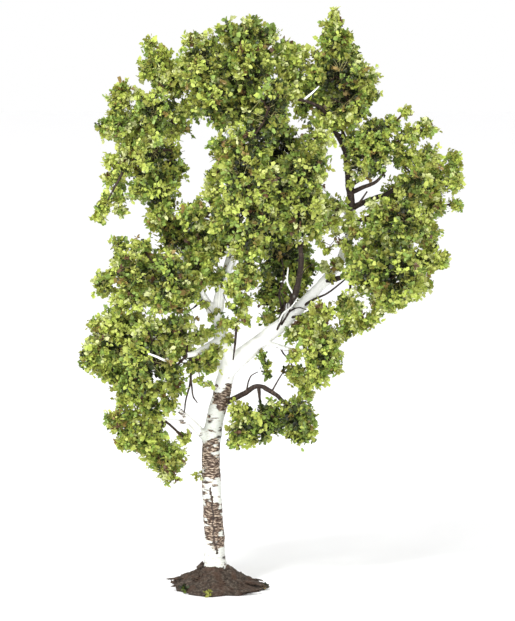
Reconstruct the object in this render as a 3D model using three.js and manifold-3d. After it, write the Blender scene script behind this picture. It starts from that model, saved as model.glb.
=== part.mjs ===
// Model birch tree, 180 mm tall, as it stands on a layout or a scenery board. A white painted trunk
// and boughs carry wiry twigs and clumps of leaf flakes, and the trunk's foot stands in a small mound
// of earth. Millimetres, +Z up. The origin is in the middle of the mound's flat underside.
import Module from "manifold-3d";
import * as THREE from "three";
import { mergeVertices } from "three/addons/utils/BufferGeometryUtils.js";

const wasm = await Module();
wasm.setup();

// Driving dimensions
const clearance = 0.3; // left between pieces that touch
const limbSegment = 7; // length of one straight stretch of a limb
const collarSwell = 0.25; // how much wider a limb's foot is, for a share of its radius
const collarLength = 1.6; // over how many radii the collar dies out

const moundRadius = 14.3;
const moundHeight = 7.2;
const rimLift = 0.4; // how far the mound's rim stands above the ground on two sides
const rimLiftTurn = 0.6; // in radians, where those sides are
const rimLiftPower = 8; // how close to the rim the lift stays
const moundSides = 24;
const moundProfile = [[0, 0], [0.92, 0], [1, 0.16], [0.8, 0.38], [0.52, 0.66], [0.26, 0.94], [0, 1]];
const rimRipples = [[1, 0.09, 1.57], [3, 0.04, 0.6], [7, 0.04, 2], [11, 0.03, 0]]; // waves, depth, start
const topRipples = [[5, 0.5, 9], [8, 0.35, -14]]; // waves round the top, their height and twist
const pocketFloor = 1.6; // height of the trunk's flat cut in the mound
const groundTolerance = 0.01; // points lower than this are on the mound's flat underside

const coreShare = 0.9; // size of a clump's core within its outline
const pointedShare = 1.06; // the same for the pointed cores of small lobes
const coreRoughness = 0.12;
const coreDrawIn = 0.85; // each step by which a core is drawn in where it would leave its space
const smallestCore = 0.2; // where that ends, as a share of the lobe's radius
const roundCore = 5; // lobes with a larger radius get a core of twenty faces, others of eight
const leafLength = 7;
const leafWidth = 5.2;
const leafShoulder = 1.25; // the widest place, where 1 is the middle of the leaf
const leafStandOff = 1.1; // how far a leaf's tip stands out of its lobe
const leafThickness = 0.7;
const leafSpacing = 20.5; // between leaves over a clump's outline
const leafCrowding = 0.5; // share of that spacing that any two leaves keep
const fullLobe = 6.5; // leaves are smaller on lobes with a smaller radius
const smallestLeaf = 0.5; // as a share of the full size
const leafDroop = 0.25;
const leafVariation = 0.15; // how much larger or smaller than its size a leaf may be
const leafJitter = 0.35; // how far a leaf leans from straight outward
const leafBurial = 0.9; // a leaf with all of its corners deeper than this is left out
const twigLeafSpread = 0.7; // how far the two leaves of a twig spread
const twigLeafRoot = 0.3; // share of its length by which such a leaf is sunk in
const goldenAngle = 2.39996; // in radians, spreads leaves evenly over a lobe
const lobesPerRadius = 0.55; // how close together the lobes of an arm are spaced
const twigRadius = 0.35;
const stemRadius = 0.6;
const twigReach = 0.82; // how far out a twig ends within a lobe
const twigsPerLobe = 0.08; // for each millimetre of the lobe's radius
const twigDepth = 1.8; // a twig that would end deeper than this in its clump is left out
const reachSlack = 1.4; // how far a leaf's tip may stand out of a clump's outline
const spaceMargin = 0.4; // half of the gap kept between two clumps
const limbMargin = 0.4; // gap kept between a leaf and a limb
const scrapTolerance = 0.05; // shortest edge kept after joining

const materials = {
  white_bark: new THREE.MeshStandardMaterial({ color: 0xe8e4da, roughness: 0.7, metalness: 0 }),
  dark_bark: new THREE.MeshStandardMaterial({ color: 0x3d3027, roughness: 0.8, metalness: 0 }),
  leaf_flock: new THREE.MeshStandardMaterial({ color: 0x86963c, roughness: 0.85, metalness: 0 }),
  earth: new THREE.MeshStandardMaterial({ color: 0x574f46, roughness: 0.95, metalness: 0 }),
};

// Each limb: what it grows from, its radius at the foot and at the tip, and the points of its route
// from the middle of what it grows from. A limb ends where it enters a clump.
const limbs = [
  { name: "trunk", from: null, bark: "white_bark", foot: 3.3, tip: 2.6, sides: 12,
    route: [[0, 0, pocketFloor], [0, 0, 6], [-0.4, 0, 18], [-1.3, 0, 37], [-0.7, 0, 49.5], [2, 0, 60.5],
      [4.3, 0, 70.5]] },
  { name: "leader", from: "trunk", bark: "white_bark", foot: 2.1, tip: 0.75, sides: 8,
    route: [[4.3, 0, 70.5], [2.5, -1, 77.5], [0.9, -1, 83.5], [1.9, -1, 93], [4.9, 0, 103], [6.5, 2, 113],
      [7, 3, 126.5], [7.7, 3, 140.5], [7.7, 2, 144]] },
  { name: "right_bough", from: "trunk", bark: "white_bark", foot: 2.7, tip: 1.35, sides: 10,
    route: [[4.3, 0, 69.5], [11, 0, 74.5], [17, 0, 79.5], [22, 0, 83.5], [30, 0, 91.5], [38, 0, 100.5]] },
  { name: "right_riser", from: "right_bough", bark: "white_bark", foot: 1.3, tip: 0.7, sides: 8,
    route: [[38, 0, 100.5], [41, 0, 110], [41.7, 0, 119], [40.5, 0, 131.5], [39.2, 0, 141]] },
  { name: "left_bough", from: "leader", bark: "white_bark", foot: 1.5, tip: 0.65, sides: 8,
    route: [[0.9, -1, 83], [-3.7, 1, 91], [-8.4, 5, 100], [-12, 9, 109], [-15, 10, 120], [-14.5, 7, 135.5],
      [-13, 4, 145], [-12.5, 1, 150.5]] },
  { name: "column_limb", from: "leader", bark: "white_bark", foot: 1.1, tip: 0.7, sides: 7,
    route: [[1.9, -1, 93], [4.1, -5, 99.5], [6.4, -10, 105], [8.2, -14.5, 109]] },
  { name: "crown_left_limb", from: "leader", bark: "white_bark", foot: 0.8, tip: 0.55, sides: 6,
    route: [[7.5, 3, 135], [4.5, -1, 140], [1.5, -5, 144.5]] },
  { name: "crown_back_limb", from: "leader", bark: "white_bark", foot: 0.85, tip: 0.6, sides: 6,
    route: [[7, 3, 126.5], [7.7, 9, 132], [7.6, 15, 137.5], [7.4, 19, 141.5]] },
  { name: "centre_back_limb", from: "leader", bark: "white_bark", foot: 1, tip: 0.6, sides: 6,
    route: [[4.3, 0, 101], [7.7, 7, 106], [11, 14, 110], [13, 18.5, 112.5]] },
  { name: "bridge_limb", from: "right_riser", bark: "dark_bark", foot: 0.75, tip: 0.5, sides: 6,
    route: [[39.8, 0, 136], [36.5, 1, 142], [32.2, 1, 148], [30.6, 1, 151]] },
  { name: "top_back_limb", from: "right_riser", bark: "dark_bark", foot: 0.8, tip: 0.5, sides: 6,
    route: [[40.1, 0, 134.5], [39.8, 8, 138], [39.5, 14.5, 141.5]] },
  { name: "right_shoulder_limb", from: "right_riser", bark: "dark_bark", foot: 0.75, tip: 0.55, sides: 6,
    route: [[41.1, 0, 125], [43.5, -2, 126.5], [45, -4, 127.6]] },
  { name: "right_far_limb", from: "right_riser", bark: "dark_bark", foot: 0.9, tip: 0.6, sides: 6,
    route: [[41.7, 0, 118], [47.7, 3, 120.5], [52, 3, 122], [54.8, 0, 123.7]] },
  { name: "right_mid_limb", from: "right_riser", bark: "dark_bark", foot: 0.75, tip: 0.55, sides: 6,
    route: [[41.4, 0, 113], [43.8, -1, 114], [46, -3, 115.5]] },
  { name: "right_back_limb", from: "right_riser", bark: "dark_bark", foot: 0.9, tip: 0.6, sides: 6,
    route: [[38.6, 0, 102.5], [43, 7, 102.5], [46.8, 13.5, 102.7]] },
  { name: "right_outer_limb", from: "right_bough", bark: "dark_bark", foot: 1, tip: 0.65, sides: 6,
    route: [[33.8, 0, 95.5], [37.7, -5, 97], [40.6, -9, 98.4]] },
  { name: "right_low_limb", from: "right_bough", bark: "white_bark", foot: 1, tip: 0.6, sides: 7,
    route: [[14.5, 0, 77], [19.4, -4, 76], [23.6, -6, 75], [27.2, -7, 75.2]] },
  { name: "centre_right_limb", from: "right_bough", bark: "white_bark", foot: 0.9, tip: 0.6, sides: 6,
    route: [[21, 0, 83], [24.8, -5, 93], [26.3, -9, 101.5], [26, -12, 107.5]] },
  { name: "inner_limb", from: "right_bough", bark: "dark_bark", foot: 0.85, tip: 0.55, sides: 6,
    route: [[18.5, 0, 80.5], [21, 3, 86], [21.5, 5, 88]] },
  { name: "left_link_limb", from: "left_bough", bark: "white_bark", foot: 0.75, tip: 0.5, sides: 6,
    route: [[-5.9, 3, 95], [-7.7, 1, 99.5], [-8.9, 0, 103]] },
  { name: "left_shoulder_limb", from: "left_bough", bark: "white_bark", foot: 0.8, tip: 0.55, sides: 6,
    route: [[-13.4, 10, 113], [-15.1, 4, 116.6], [-16.7, -3, 119]] },
  { name: "left_outer_limb", from: "left_bough", bark: "white_bark", foot: 0.75, tip: 0.5, sides: 6,
    route: [[-14.5, 8, 132], [-17.8, 4, 132.6], [-21, 0, 133.8]] },
  { name: "left_back_limb", from: "left_bough", bark: "white_bark", foot: 0.75, tip: 0.5, sides: 6,
    route: [[-14.9, 10, 121.5], [-16.2, 12, 122.2], [-17.6, 14, 123.2]] },
  { name: "left_mid_limb", from: "left_bough", bark: "white_bark", foot: 0.9, tip: 0.6, sides: 6,
    route: [[-2.8, 0, 89.2], [-3.6, -6, 92.3], [-4.4, -11, 95.2]] },
  { name: "left_mid_back_limb", from: "left_bough", bark: "white_bark", foot: 0.9, tip: 0.6, sides: 6,
    route: [[-6.8, 4, 97], [-8.4, 8.5, 97.8], [-9.8, 12.5, 98.3]] },
  { name: "left_low_limb", from: "leader", bark: "white_bark", foot: 1.3, tip: 0.8, sides: 7,
    route: [[2.2, -1, 78.2], [-2.1, -5, 76], [-5.7, -9, 74.5], [-8.3, -12, 74.2]] },
  { name: "left_low_outer_limb", from: "leader", bark: "white_bark", foot: 1.1, tip: 0.65, sides: 7,
    route: [[1.9, -1, 80.6], [-4.7, 3, 77.1], [-12.4, 3, 76.8], [-21.2, -2, 79]] },
  { name: "left_low_back_limb", from: "trunk", bark: "white_bark", foot: 1.2, tip: 0.7, sides: 7,
    route: [[3.7, 0, 68], [-3.3, 9, 70.8], [-10.2, 15, 72.6]] },
  { name: "left_bottom_bough", from: "trunk", bark: "white_bark", foot: 1.4, tip: 0.8, sides: 8,
    route: [[-1, 0, 45], [-7.7, -2, 52.6], [-11.3, -5, 56.7], [-13.4, -7.4, 58.8]] },
  { name: "left_bottom_limb", from: "left_bottom_bough", bark: "white_bark", foot: 0.85, tip: 0.55, sides: 6,
    route: [[-7.4, -2, 52.2], [-12.2, -5, 53], [-16.2, -7, 53.9]] },
  { name: "right_bottom_limb", from: "trunk", bark: "dark_bark", foot: 0.95, tip: 0.6, sides: 7,
    route: [[1.8, 0, 57.3], [9, -1, 61], [13, -2, 63.4], [17.5, -3, 61.7], [21.2, -4, 58.7]] },
];

// Each clump of leaves: the limb that carries it and its arms, which are rows of lobes. A lobe is given
// by the place of its middle and its radius. Further lobes are spaced between two that lie far apart.
const clumps = [
  { name: "top_spire", carrier: "right_riser", arms: [
    [[40, -4, 149.5, 7.3], [38.5, -4, 157.5, 8.3], [36.5, -2, 168, 4.8], [36.5, -1, 178, 1.6]],
    [[41.5, 2, 153.5, 5.5], [47, 3, 157.5, 3.2]],
    [[47.5, 1, 152.5, 2.8]],
    [[39.5, 0, 163, 3.6], [41.5, 0, 166.5, 2]],
    [[34.5, -2, 173, 2.2], [40, -2, 171, 2.2]],
    [[34.5, 0, 160.5, 4], [31, 0, 164.5, 2.2]]] },
  { name: "top_spire_back", carrier: "top_back_limb", arms: [
    [[39, 20, 149, 8], [39, 18, 161, 7.5]],
    [[40, 10, 155, 5.5]],
    [[33, 15, 155, 5]]] },
  { name: "top_bridge", carrier: "bridge_limb", arms: [
    [[31, 0, 156, 4.3], [23, 3, 161.5, 4.6], [20, 2, 166.3, 3.2]],
    [[29.5, 0, 160, 3], [26, 0, 165, 3]],
    [[22.8, 1, 166.5, 2.4]],
    [[24, 2, 156, 4]],
    [[28.5, -1, 151.5, 3.2], [26.5, -1, 148, 2.4]]] },
  { name: "crown_top", carrier: "leader", arms: [
    [[7.5, 0, 150, 6.7], [9.5, -4, 160.5, 8.2], [10.8, -2, 170.5, 6.1]],
    [[8, -8, 163.5, 5.4], [4, -8, 171.5, 4]],
    [[14.5, 0, 163, 4], [16.5, 0, 171, 2.8]]] },
  { name: "crown_top_left", carrier: "crown_left_limb", arms: [
    [[-0.5, -8, 152, 7.2], [-5.5, -8, 161.5, 6.6], [-6.5, -6, 169.5, 2.6]],
    [[-1.5, -7, 169, 3]],
    [[1.5, -9, 144.8, 2.4]],
    [[-4.5, -2, 150, 4.3], [-9, -2, 148.5, 3.2], [-10, -4, 143.5, 3]]] },
  { name: "crown_top_back", carrier: "crown_back_limb", arms: [
    [[7, 24, 150, 8], [4, 23, 162, 7.6]],
    [[6, 12, 157, 6.5]],
    [[-4, 16, 154, 5.4]]] },
  { name: "left_spire", carrier: "left_bough", arms: [
    [[-13, 0, 157, 5.5], [-18.5, 0, 161.5, 4.3], [-19.5, 0, 168.5, 2.1]],
    [[-18, 0, 159.5, 2.8], [-21, 0, 159, 1.6]],
    [[-15.5, -1, 165, 2.4]],
    [[-15, 8, 158, 4.5]]] },
  { name: "left_shoulder", carrier: "left_shoulder_limb", arms: [
    [[-16.5, -8, 119, 4.4], [-17, -10, 124.5, 5.8], [-17, -12, 136.5, 7], [-17.5, -10, 148, 6.3]],
    [[-14.5, -6, 131.5, 4.6], [-10.5, -4, 129.5, 2.7]],
    [[-12.8, -7, 141.5, 2.6], [-12.8, -7, 136, 2.2]],
    [[-19.5, -6, 148.5, 3.6], [-23, -4, 153.5, 1.8]],
    [[-23, -8, 124, 3.2]],
    [[-18.5, -6, 114, 2.4]]] },
  { name: "left_shoulder_outer", carrier: "left_outer_limb", arms: [
    [[-25, -4, 135.5, 5.2], [-29.5, -4, 144, 4.8], [-29, -4, 151.5, 4.2], [-27.5, -4, 154.6, 2.6]],
    [[-33, -4, 142, 2.6]],
    [[-27.5, -6, 131.5, 3], [-32, -5, 127, 2.2], [-33, -6, 121.5, 2], [-35, -6, 116, 2]],
    [[-31.5, -5, 133, 2.4]],
    [[-29.5, -5, 127.6, 1.9], [-28.6, -6, 118, 1.9]],
    [[-28, 6, 143, 4.6]]] },
  { name: "left_shoulder_back", carrier: "left_back_limb", arms: [
    [[-20, 18, 129, 6.9], [-21, 16, 144, 6.9]],
    [[-19, 6, 143, 5]]] },
  { name: "left_link", carrier: "left_link_limb", arms: [
    [[-6, 0, 107.5, 4.3], [-12.5, 0, 110, 4.5], [-15, -1, 113, 3]],
    [[-2.5, 8, 109, 5]]] },
  { name: "front_column", carrier: "column_limb", arms: [
    [[11, -23, 117.5, 8.9], [10.5, -25, 128, 8.9], [10.5, -21, 138.5, 7.2], [15.5, -21, 146.5, 7.1],
      [17.5, -20, 153.5, 4.8]],
    [[4.5, -20, 116, 6.6], [-6, -16, 117.5, 4.8]],
    [[5, -18, 133, 3.8], [1.5, -18, 138.5, 2.7]],
    [[0, -18, 124.5, 3]],
    [[18, -13, 147, 4.2], [22, -10, 153.5, 3.6]],
    [[10, -21, 107.5, 5], [10, -20, 99.5, 4.4], [8.5, -20, 91.5, 2.6]],
    [[5.4, -16, 96, 2.8]],
    [[-0.5, -17, 129, 2.2]]] },
  { name: "centre_right", carrier: "centre_right_limb", arms: [
    [[25.5, -14, 117.5, 8.4], [27, -14, 130.5, 7.8], [31.5, -12, 139.5, 4.5], [32.5, -8, 145, 2.4]],
    [[31.5, -8, 119.5, 4.3], [36, -6, 114.5, 3]],
    [[31, -9, 111.5, 2.4]],
    [[37.5, -5, 119.5, 2.6]]] },
  { name: "centre_back", carrier: "centre_back_limb", arms: [
    [[17.5, 26, 117.5, 9.4], [19, 28, 135, 9.4]],
    [[21, 14, 126, 7]],
    [[9, 16.5, 123.5, 5.6], [3, 14, 130.5, 5.4]]] },
  { name: "inner_dark", carrier: "inner_limb", arms: [
    [[18, 8, 91, 5.2], [20.5, 10, 100.5, 7]],
    [[26, 10, 96, 4.4], [28.5, 7, 100, 2.6]],
    [[23.5, 6, 91.5, 3.6], [25.5, 4, 94, 2.6]],
    [[16.5, 5, 84, 2.6]],
    [[24, 22, 103.5, 5.7], [16.5, 20, 106.5, 5.6]]] },
  { name: "left_mid", carrier: "left_mid_limb", arms: [
    [[-5.5, -14, 99.5, 5.4], [-14.5, -18, 98.5, 7.8], [-25, -16, 100, 6.6]],
    [[-27.5, -8, 102, 4], [-33, -6, 95.5, 4]],
    [[-22, -11, 107, 3.4]],
    [[-28.5, -12, 90, 3]],
    [[-29, -9, 107.4, 2.2]],
    [[-5, -12, 105, 4], [0, -10, 107, 3.4]],
    [[-9, -14, 94.5, 4.8], [-11, -12, 89, 3.2]],
    [[-16, -17, 92, 5], [-24, -15, 92, 4.5]],
    [[-3.5, -4, 103, 4.3], [0.5, -4, 97.5, 3.4]]] },
  { name: "left_mid_back", carrier: "left_mid_back_limb", arms: [
    [[-14, 18, 99.5, 6.6], [-24.5, 18, 93, 6.6]],
    [[-20, 6, 97, 6]],
    [[-7, 15, 104, 4.6]]] },
  { name: "left_low", carrier: "left_low_limb", arms: [
    [[-11.5, -14, 82, 5.5], [-19.5, -18, 74, 7.8], [-24, -14, 65.5, 4.9]],
    [[-20, -16, 82, 4.5]],
    [[-13.5, -12, 69.5, 4], [-14, -12, 59.5, 2.7]],
    [[-11.5, -10, 64.5, 2.8]],
    [[-17.5, -12, 63.5, 2.6]],
    [[-6, -8, 71, 3], [-1.5, -9, 70.5, 2.6], [0.5, -8.5, 75, 2.4]],
    [[-8.5, -9, 79.5, 3], [-4, -6, 79.5, 2.2]],
    [[-2, -9.5, 74, 2.2]]] },
  { name: "left_low_outer", carrier: "left_low_outer_limb", arms: [
    [[-26, -6, 82, 5.5], [-32.5, -6, 76, 6.7], [-37.2, -6, 73, 4.8]],
    [[-31, -6, 68.5, 4.8], [-27.5, -6, 64, 3.5]],
    [[-31.5, -6, 84, 3.7], [-36, -6, 83, 2.6]],
    [[-31, 5, 74.5, 5.5]]] },
  { name: "left_low_back", carrier: "left_low_back_limb", arms: [
    [[-17.5, 16, 74, 7.6], [-27.5, 16, 69.5, 6.9]]] },
  { name: "left_bottom", carrier: "left_bottom_limb", arms: [
    [[-19, -8, 56, 3.8], [-27, -8, 52.5, 5], [-24, -8, 48.5, 3.8]],
    [[-31, -8, 54.5, 3]],
    [[-28, -8, 47, 2.4]],
    [[-21.5, -9, 60, 3.2], [-27.5, -9, 60, 2.8]],
    [[-20, -8, 48, 4.7], [-15, -8, 40.5, 4.4], [-14, -8, 37, 3]],
    [[-19.5, -8, 42.5, 2.6]],
    [[-15, -6, 44.5, 3.2], [-12, -6, 43, 2.8], [-9.5, -6, 48, 1.9]],
    [[-20, 2, 49, 4.2]]] },
  { name: "right_shoulder", carrier: "right_shoulder_limb", arms: [
    [[46, -6, 133.5, 6.6], [48.5, -5, 140, 6], [53.5, -4, 143.5, 3], [58, -4, 148, 1.8]],
    [[42, -4, 139, 2.6]],
    [[49, 6, 136, 5.4]]] },
  { name: "right_far", carrier: "right_far_limb", arms: [
    [[61, -4, 125.5, 5.8], [65, 0, 133, 4.3], [64.5, 2, 142, 3.1]],
    [[66, 2, 125.5, 6], [73, 2, 130, 2.8], [73.3, 2, 133.5, 2.4]],
    [[55, -4, 138.5, 2.4]],
    [[73.5, 1, 126, 2.6]],
    [[67, 0, 119, 3.8], [74, 0, 119, 2.2]],
    [[58, -2, 134, 3.6], [59.5, -3, 140.5, 3]],
    [[64, 12, 125, 4.8]]] },
  { name: "right_mid", carrier: "right_mid_limb", arms: [
    [[50.5, -4, 117, 5.5], [57.5, -6, 114.5, 7], [64, -4, 111.5, 4.3], [65.5, -4, 107.5, 3.2]],
    [[46.5, -5, 111.5, 3], [42, -5.5, 112, 2.4]]] },
  { name: "right_mid_low", carrier: "right_outer_limb", arms: [
    [[46, -14, 99.5, 6.6], [55, -16, 99, 8.7]],
    [[44, -8, 104.5, 3.6], [40, -6.5, 107.5, 2.2]],
    [[62.5, -6, 101.5, 4.6], [67.5, -6, 103.5, 2.9], [69.5, -6, 102, 2.2]],
    [[60, -6, 94, 4], [64, -6, 95.5, 2.4]],
    [[51.5, -12, 91, 4.6], [41, -14, 89, 4.5], [32.5, -14, 87.5, 3.6]],
    [[56, -11, 90.5, 2.2]],
    [[47.5, -13, 85.5, 2.6], [40, -12, 82, 2.6]]] },
  { name: "right_mid_back", carrier: "right_back_limb", arms: [
    [[53, 20, 103.5, 8.5], [58, 18, 119, 6.9]],
    [[56, 7, 108, 5.5]]] },
  { name: "right_low", carrier: "right_low_limb", arms: [
    [[29.5, -8, 79.5, 3.8], [33.5, -8, 76.5, 6.4], [31, -8, 68, 4.3]],
    [[36, -6, 70, 3]],
    [[30.5, -6.5, 84.5, 3], [26, -5, 80.5, 3], [23.5, -5.5, 79.5, 2.2]],
    [[25, -3, 67.5, 3], [27.5, -2, 64.5, 2.2], [28.5, -2, 60.5, 2]],
    [[33, 4, 74, 5.2]]] },
  { name: "right_bottom", carrier: "right_bottom_limb", arms: [
    [[25, -4, 54.5, 5.5], [14.5, -6, 52.5, 5.5], [8, -6, 50.5, 4.2]],
    [[8.5, -6, 55, 3.2]],
    [[18, -6, 58, 2.4]],
    [[25.5, 0, 52.5, 4.3], [28, -1, 49.5, 3.2]],
    [[25, -3, 48.5, 3]],
    [[11, -6, 48.4, 2.6], [6.8, -6, 47.2, 2.4]],
    [[6.4, -6, 57, 2]],
    [[26, 7, 53, 3.5], [26, 14, 53, 4.7], [17, 16, 49.5, 4.4]]] },
];

const up = new THREE.Vector3(0, 1, 0); // the axis along which twigs and leaves are made

// A repeatable stream of numbers from 0 to 1
function seededRandom(seed) {
  let state = seed;
  return () => {
    state = (state + 0x6d2b79f5) | 0;
    let mixed = Math.imul(state ^ (state >>> 15), 1 | state);
    mixed = (mixed + Math.imul(mixed ^ (mixed >>> 7), 61 | mixed)) ^ mixed;
    return ((mixed ^ (mixed >>> 14)) >>> 0) / 4294967296;
  };
}

function toSolid(geometry) {
  geometry.deleteAttribute("normal");
  geometry.deleteAttribute("uv");
  const merged = mergeVertices(geometry);
  return new wasm.Manifold(new wasm.Mesh({
    numProp: 3,
    vertProperties: merged.attributes.position.array,
    triVerts: Uint32Array.from(merged.index.array),
  }));
}

// Joins solids, keeps the largest piece and so drops loose scraps and fills sealed hollows
function joinedBody(solids, cutters) {
  let whole = wasm.Manifold.union(solids);
  for (const cutter of cutters) whole = whole.subtract(cutter);
  const pieces = whole.simplify(scrapTolerance).decompose();
  pieces.sort((a, b) => b.volume() - a.volume());
  return pieces[0];
}

// Limbs

for (const limb of limbs) {
  const points = limb.route.map((point) => new THREE.Vector3(...point));
  limb.curve = new THREE.CatmullRomCurve3(points, false, "centripetal");
  limb.length = limb.curve.getLength();
  limb.steps = Math.max(2, Math.round(limb.length / limbSegment));
}

function limbRadius(limb, along) {
  const distance = along * limb.length;
  const plain = limb.foot + (limb.tip - limb.foot) * along;
  return plain + limb.foot * collarSwell * Math.exp(-distance / (limb.foot * collarLength));
}

// A tapering limb along its route, or the larger shape that keeps its neighbours clear of it
function limbSolid(limb, extra = 0) {
  const frames = limb.curve.computeFrenetFrames(limb.steps);
  const geometry = new THREE.CylinderGeometry(1, 1, 1, limb.sides, limb.steps);
  const position = geometry.attributes.position;
  const vertex = new THREE.Vector3();
  for (let i = 0; i < position.count; i += 1) {
    vertex.fromBufferAttribute(position, i);
    const step = Math.round((vertex.y + 0.5) * limb.steps);
    const along = step / limb.steps;
    const radius = limbRadius(limb, along) + extra;
    const lengthening = (step === limb.steps ? extra : 0) - (step === 0 ? extra : 0);
    const place = limb.curve.getPointAt(along)
      .addScaledVector(frames.normals[step], vertex.x * radius)
      .addScaledVector(frames.binormals[step], -vertex.z * radius)
      .addScaledVector(frames.tangents[step], lengthening);
    position.setXYZ(i, place.x, place.y, place.z);
  }
  return toSolid(geometry);
}

function boxesTouch(a, b) {
  const one = a.boundingBox();
  const two = b.boundingBox();
  return [0, 1, 2].every((axis) => one.min[axis] < two.max[axis] && two.min[axis] < one.max[axis]);
}

const clearOf = (solid, keepouts) => keepouts.filter((keepout) => boxesTouch(solid, keepout));

const limbKeepouts = [];
for (const limb of limbs) {
  const plain = limbSolid(limb);
  limb.solid = joinedBody([plain], clearOf(plain, limbKeepouts));
  limb.keepout = limbSolid(limb, clearance);
  limbKeepouts.push(limb.keepout);
  limb.samples = limb.curve.getSpacedPoints(limb.steps * 3).map((place, i, all) => ({
    place,
    radius: limbRadius(limb, i / (all.length - 1)),
  }));
}

function distanceToLimbs(point) {
  let nearest = Infinity;
  const segment = new THREE.Line3();
  const closest = new THREE.Vector3();
  for (const limb of limbs) {
    for (let i = 1; i < limb.samples.length; i += 1) {
      segment.set(limb.samples[i - 1].place, limb.samples[i].place);
      segment.closestPointToPoint(point, true, closest);
      nearest = Math.min(nearest, closest.distanceTo(point) - limb.samples[i - 1].radius);
    }
  }
  return nearest;
}

// Clumps

// Further lobes between two that lie far apart
function spacedLobes(arm) {
  const lobes = [];
  arm.forEach((end, i) => {
    if (i > 0) {
      const start = arm[i - 1];
      const span = Math.hypot(end[0] - start[0], end[1] - start[1], end[2] - start[2]);
      const count = Math.round((span * lobesPerRadius) / Math.max(start[3], end[3]));
      for (let k = 1; k < count; k += 1) {
        lobes.push(start.map((value, axis) => value + ((end[axis] - value) * k) / count));
      }
    }
    lobes.push(end);
  });
  return lobes.map(([x, y, z, radius]) => ({ middle: new THREE.Vector3(x, y, z), radius }));
}

for (const clump of clumps) clump.lobes = clump.arms.flatMap(spacedLobes);

// How far a point lies outside a clump's outline, or inside it where the number is negative
function outside(clump, point) {
  return Math.min(...clump.lobes.map((lobe) => lobe.middle.distanceTo(point) - lobe.radius));
}

// A point is in a clump's own space where it is in its outline and deeper in it than in any other's
function inOwnSpace(clump, point, slack) {
  const own = outside(clump, point);
  if (own > slack) return false;
  return clumps.every((other) => other === clump || outside(other, point) > own + spaceMargin * 2);
}

// A lumpy ball for a lobe's share of the core, drawn in where it would leave the clump's own space
function lobeCore(clump, lobe, random) {
  const round = lobe.radius > roundCore;
  const geometry = round ? new THREE.IcosahedronGeometry(1, 0) : new THREE.OctahedronGeometry(1, 0);
  geometry.rotateX(2 * Math.PI * random());
  geometry.rotateZ(2 * Math.PI * random());
  geometry.deleteAttribute("normal");
  geometry.deleteAttribute("uv");
  const ball = mergeVertices(geometry);
  const position = ball.attributes.position;
  const direction = new THREE.Vector3();
  const point = new THREE.Vector3();
  for (let i = 0; i < position.count; i += 1) {
    direction.fromBufferAttribute(position, i).normalize();
    let reach = lobe.radius * ((round ? coreShare : pointedShare) - coreRoughness * random());
    do {
      point.copy(lobe.middle).addScaledVector(direction, reach);
      reach *= coreDrawIn;
    } while (!inOwnSpace(clump, point, 0) && reach > lobe.radius * smallestCore);
    position.setXYZ(i, point.x, point.y, point.z);
  }
  return toSolid(ball);
}

// A tapering three-sided twig from one joint to the next
function twigSolid(from, to, footRadius, tipRadius) {
  const direction = new THREE.Vector3().subVectors(to, from);
  const geometry = new THREE.CylinderGeometry(tipRadius, footRadius, direction.length(), 3, 1);
  geometry.applyQuaternion(new THREE.Quaternion().setFromUnitVectors(up, direction.normalize()));
  geometry.translate((from.x + to.x) / 2, (from.y + to.y) / 2, (from.z + to.z) / 2);
  return toSolid(geometry);
}

// A lozenge of eight faces, with one tip at its root
function leafGeometry(root, direction, roll, size) {
  const geometry = new THREE.OctahedronGeometry(1, 0);
  geometry.translate(0, 1, 0);
  const position = geometry.attributes.position;
  for (let i = 0; i < position.count; i += 1) {
    if (Math.round(position.getY(i)) === 1) position.setY(i, leafShoulder);
  }
  geometry.scale((leafWidth / 2) * size, (leafLength / 2) * size, leafThickness / 2);
  geometry.rotateY(roll);
  geometry.applyQuaternion(new THREE.Quaternion().setFromUnitVectors(up, direction));
  geometry.translate(root.x, root.y, root.z);
  return geometry;
}

// A leaf is left out where it would leave the clump's space, touch a limb or lie buried in the clump
function leafFits(clump, geometry, root) {
  const position = geometry.attributes.position;
  const point = new THREE.Vector3();
  let deepest = Infinity;
  for (let i = 0; i < position.count; i += 1) {
    point.fromBufferAttribute(position, i);
    if (!inOwnSpace(clump, point, reachSlack) || distanceToLimbs(point) < limbMargin) return false;
    point.lerp(root, 0.5);
    if (!inOwnSpace(clump, point, reachSlack) || distanceToLimbs(point) < limbMargin) return false;
    deepest = Math.min(deepest, -outside(clump, point.fromBufferAttribute(position, i)));
  }
  return deepest < leafBurial;
}

function twigFits(clump, from, to) {
  const point = new THREE.Vector3();
  for (const along of [0.25, 0.5, 0.75, 1]) {
    point.lerpVectors(from, to, along);
    if (!inOwnSpace(clump, point, 0) || distanceToLimbs(point) < limbMargin + twigRadius) return false;
  }
  return true;
}

const leafSize = (lobeRadius) => Math.min(1, Math.max(smallestLeaf, lobeRadius / fullLobe));

function randomDirection(random) {
  const height = 2 * random() - 1;
  const angle = 2 * Math.PI * random();
  const flat = Math.sqrt(1 - height * height);
  return new THREE.Vector3(flat * Math.cos(angle), flat * Math.sin(angle), height);
}

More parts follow.
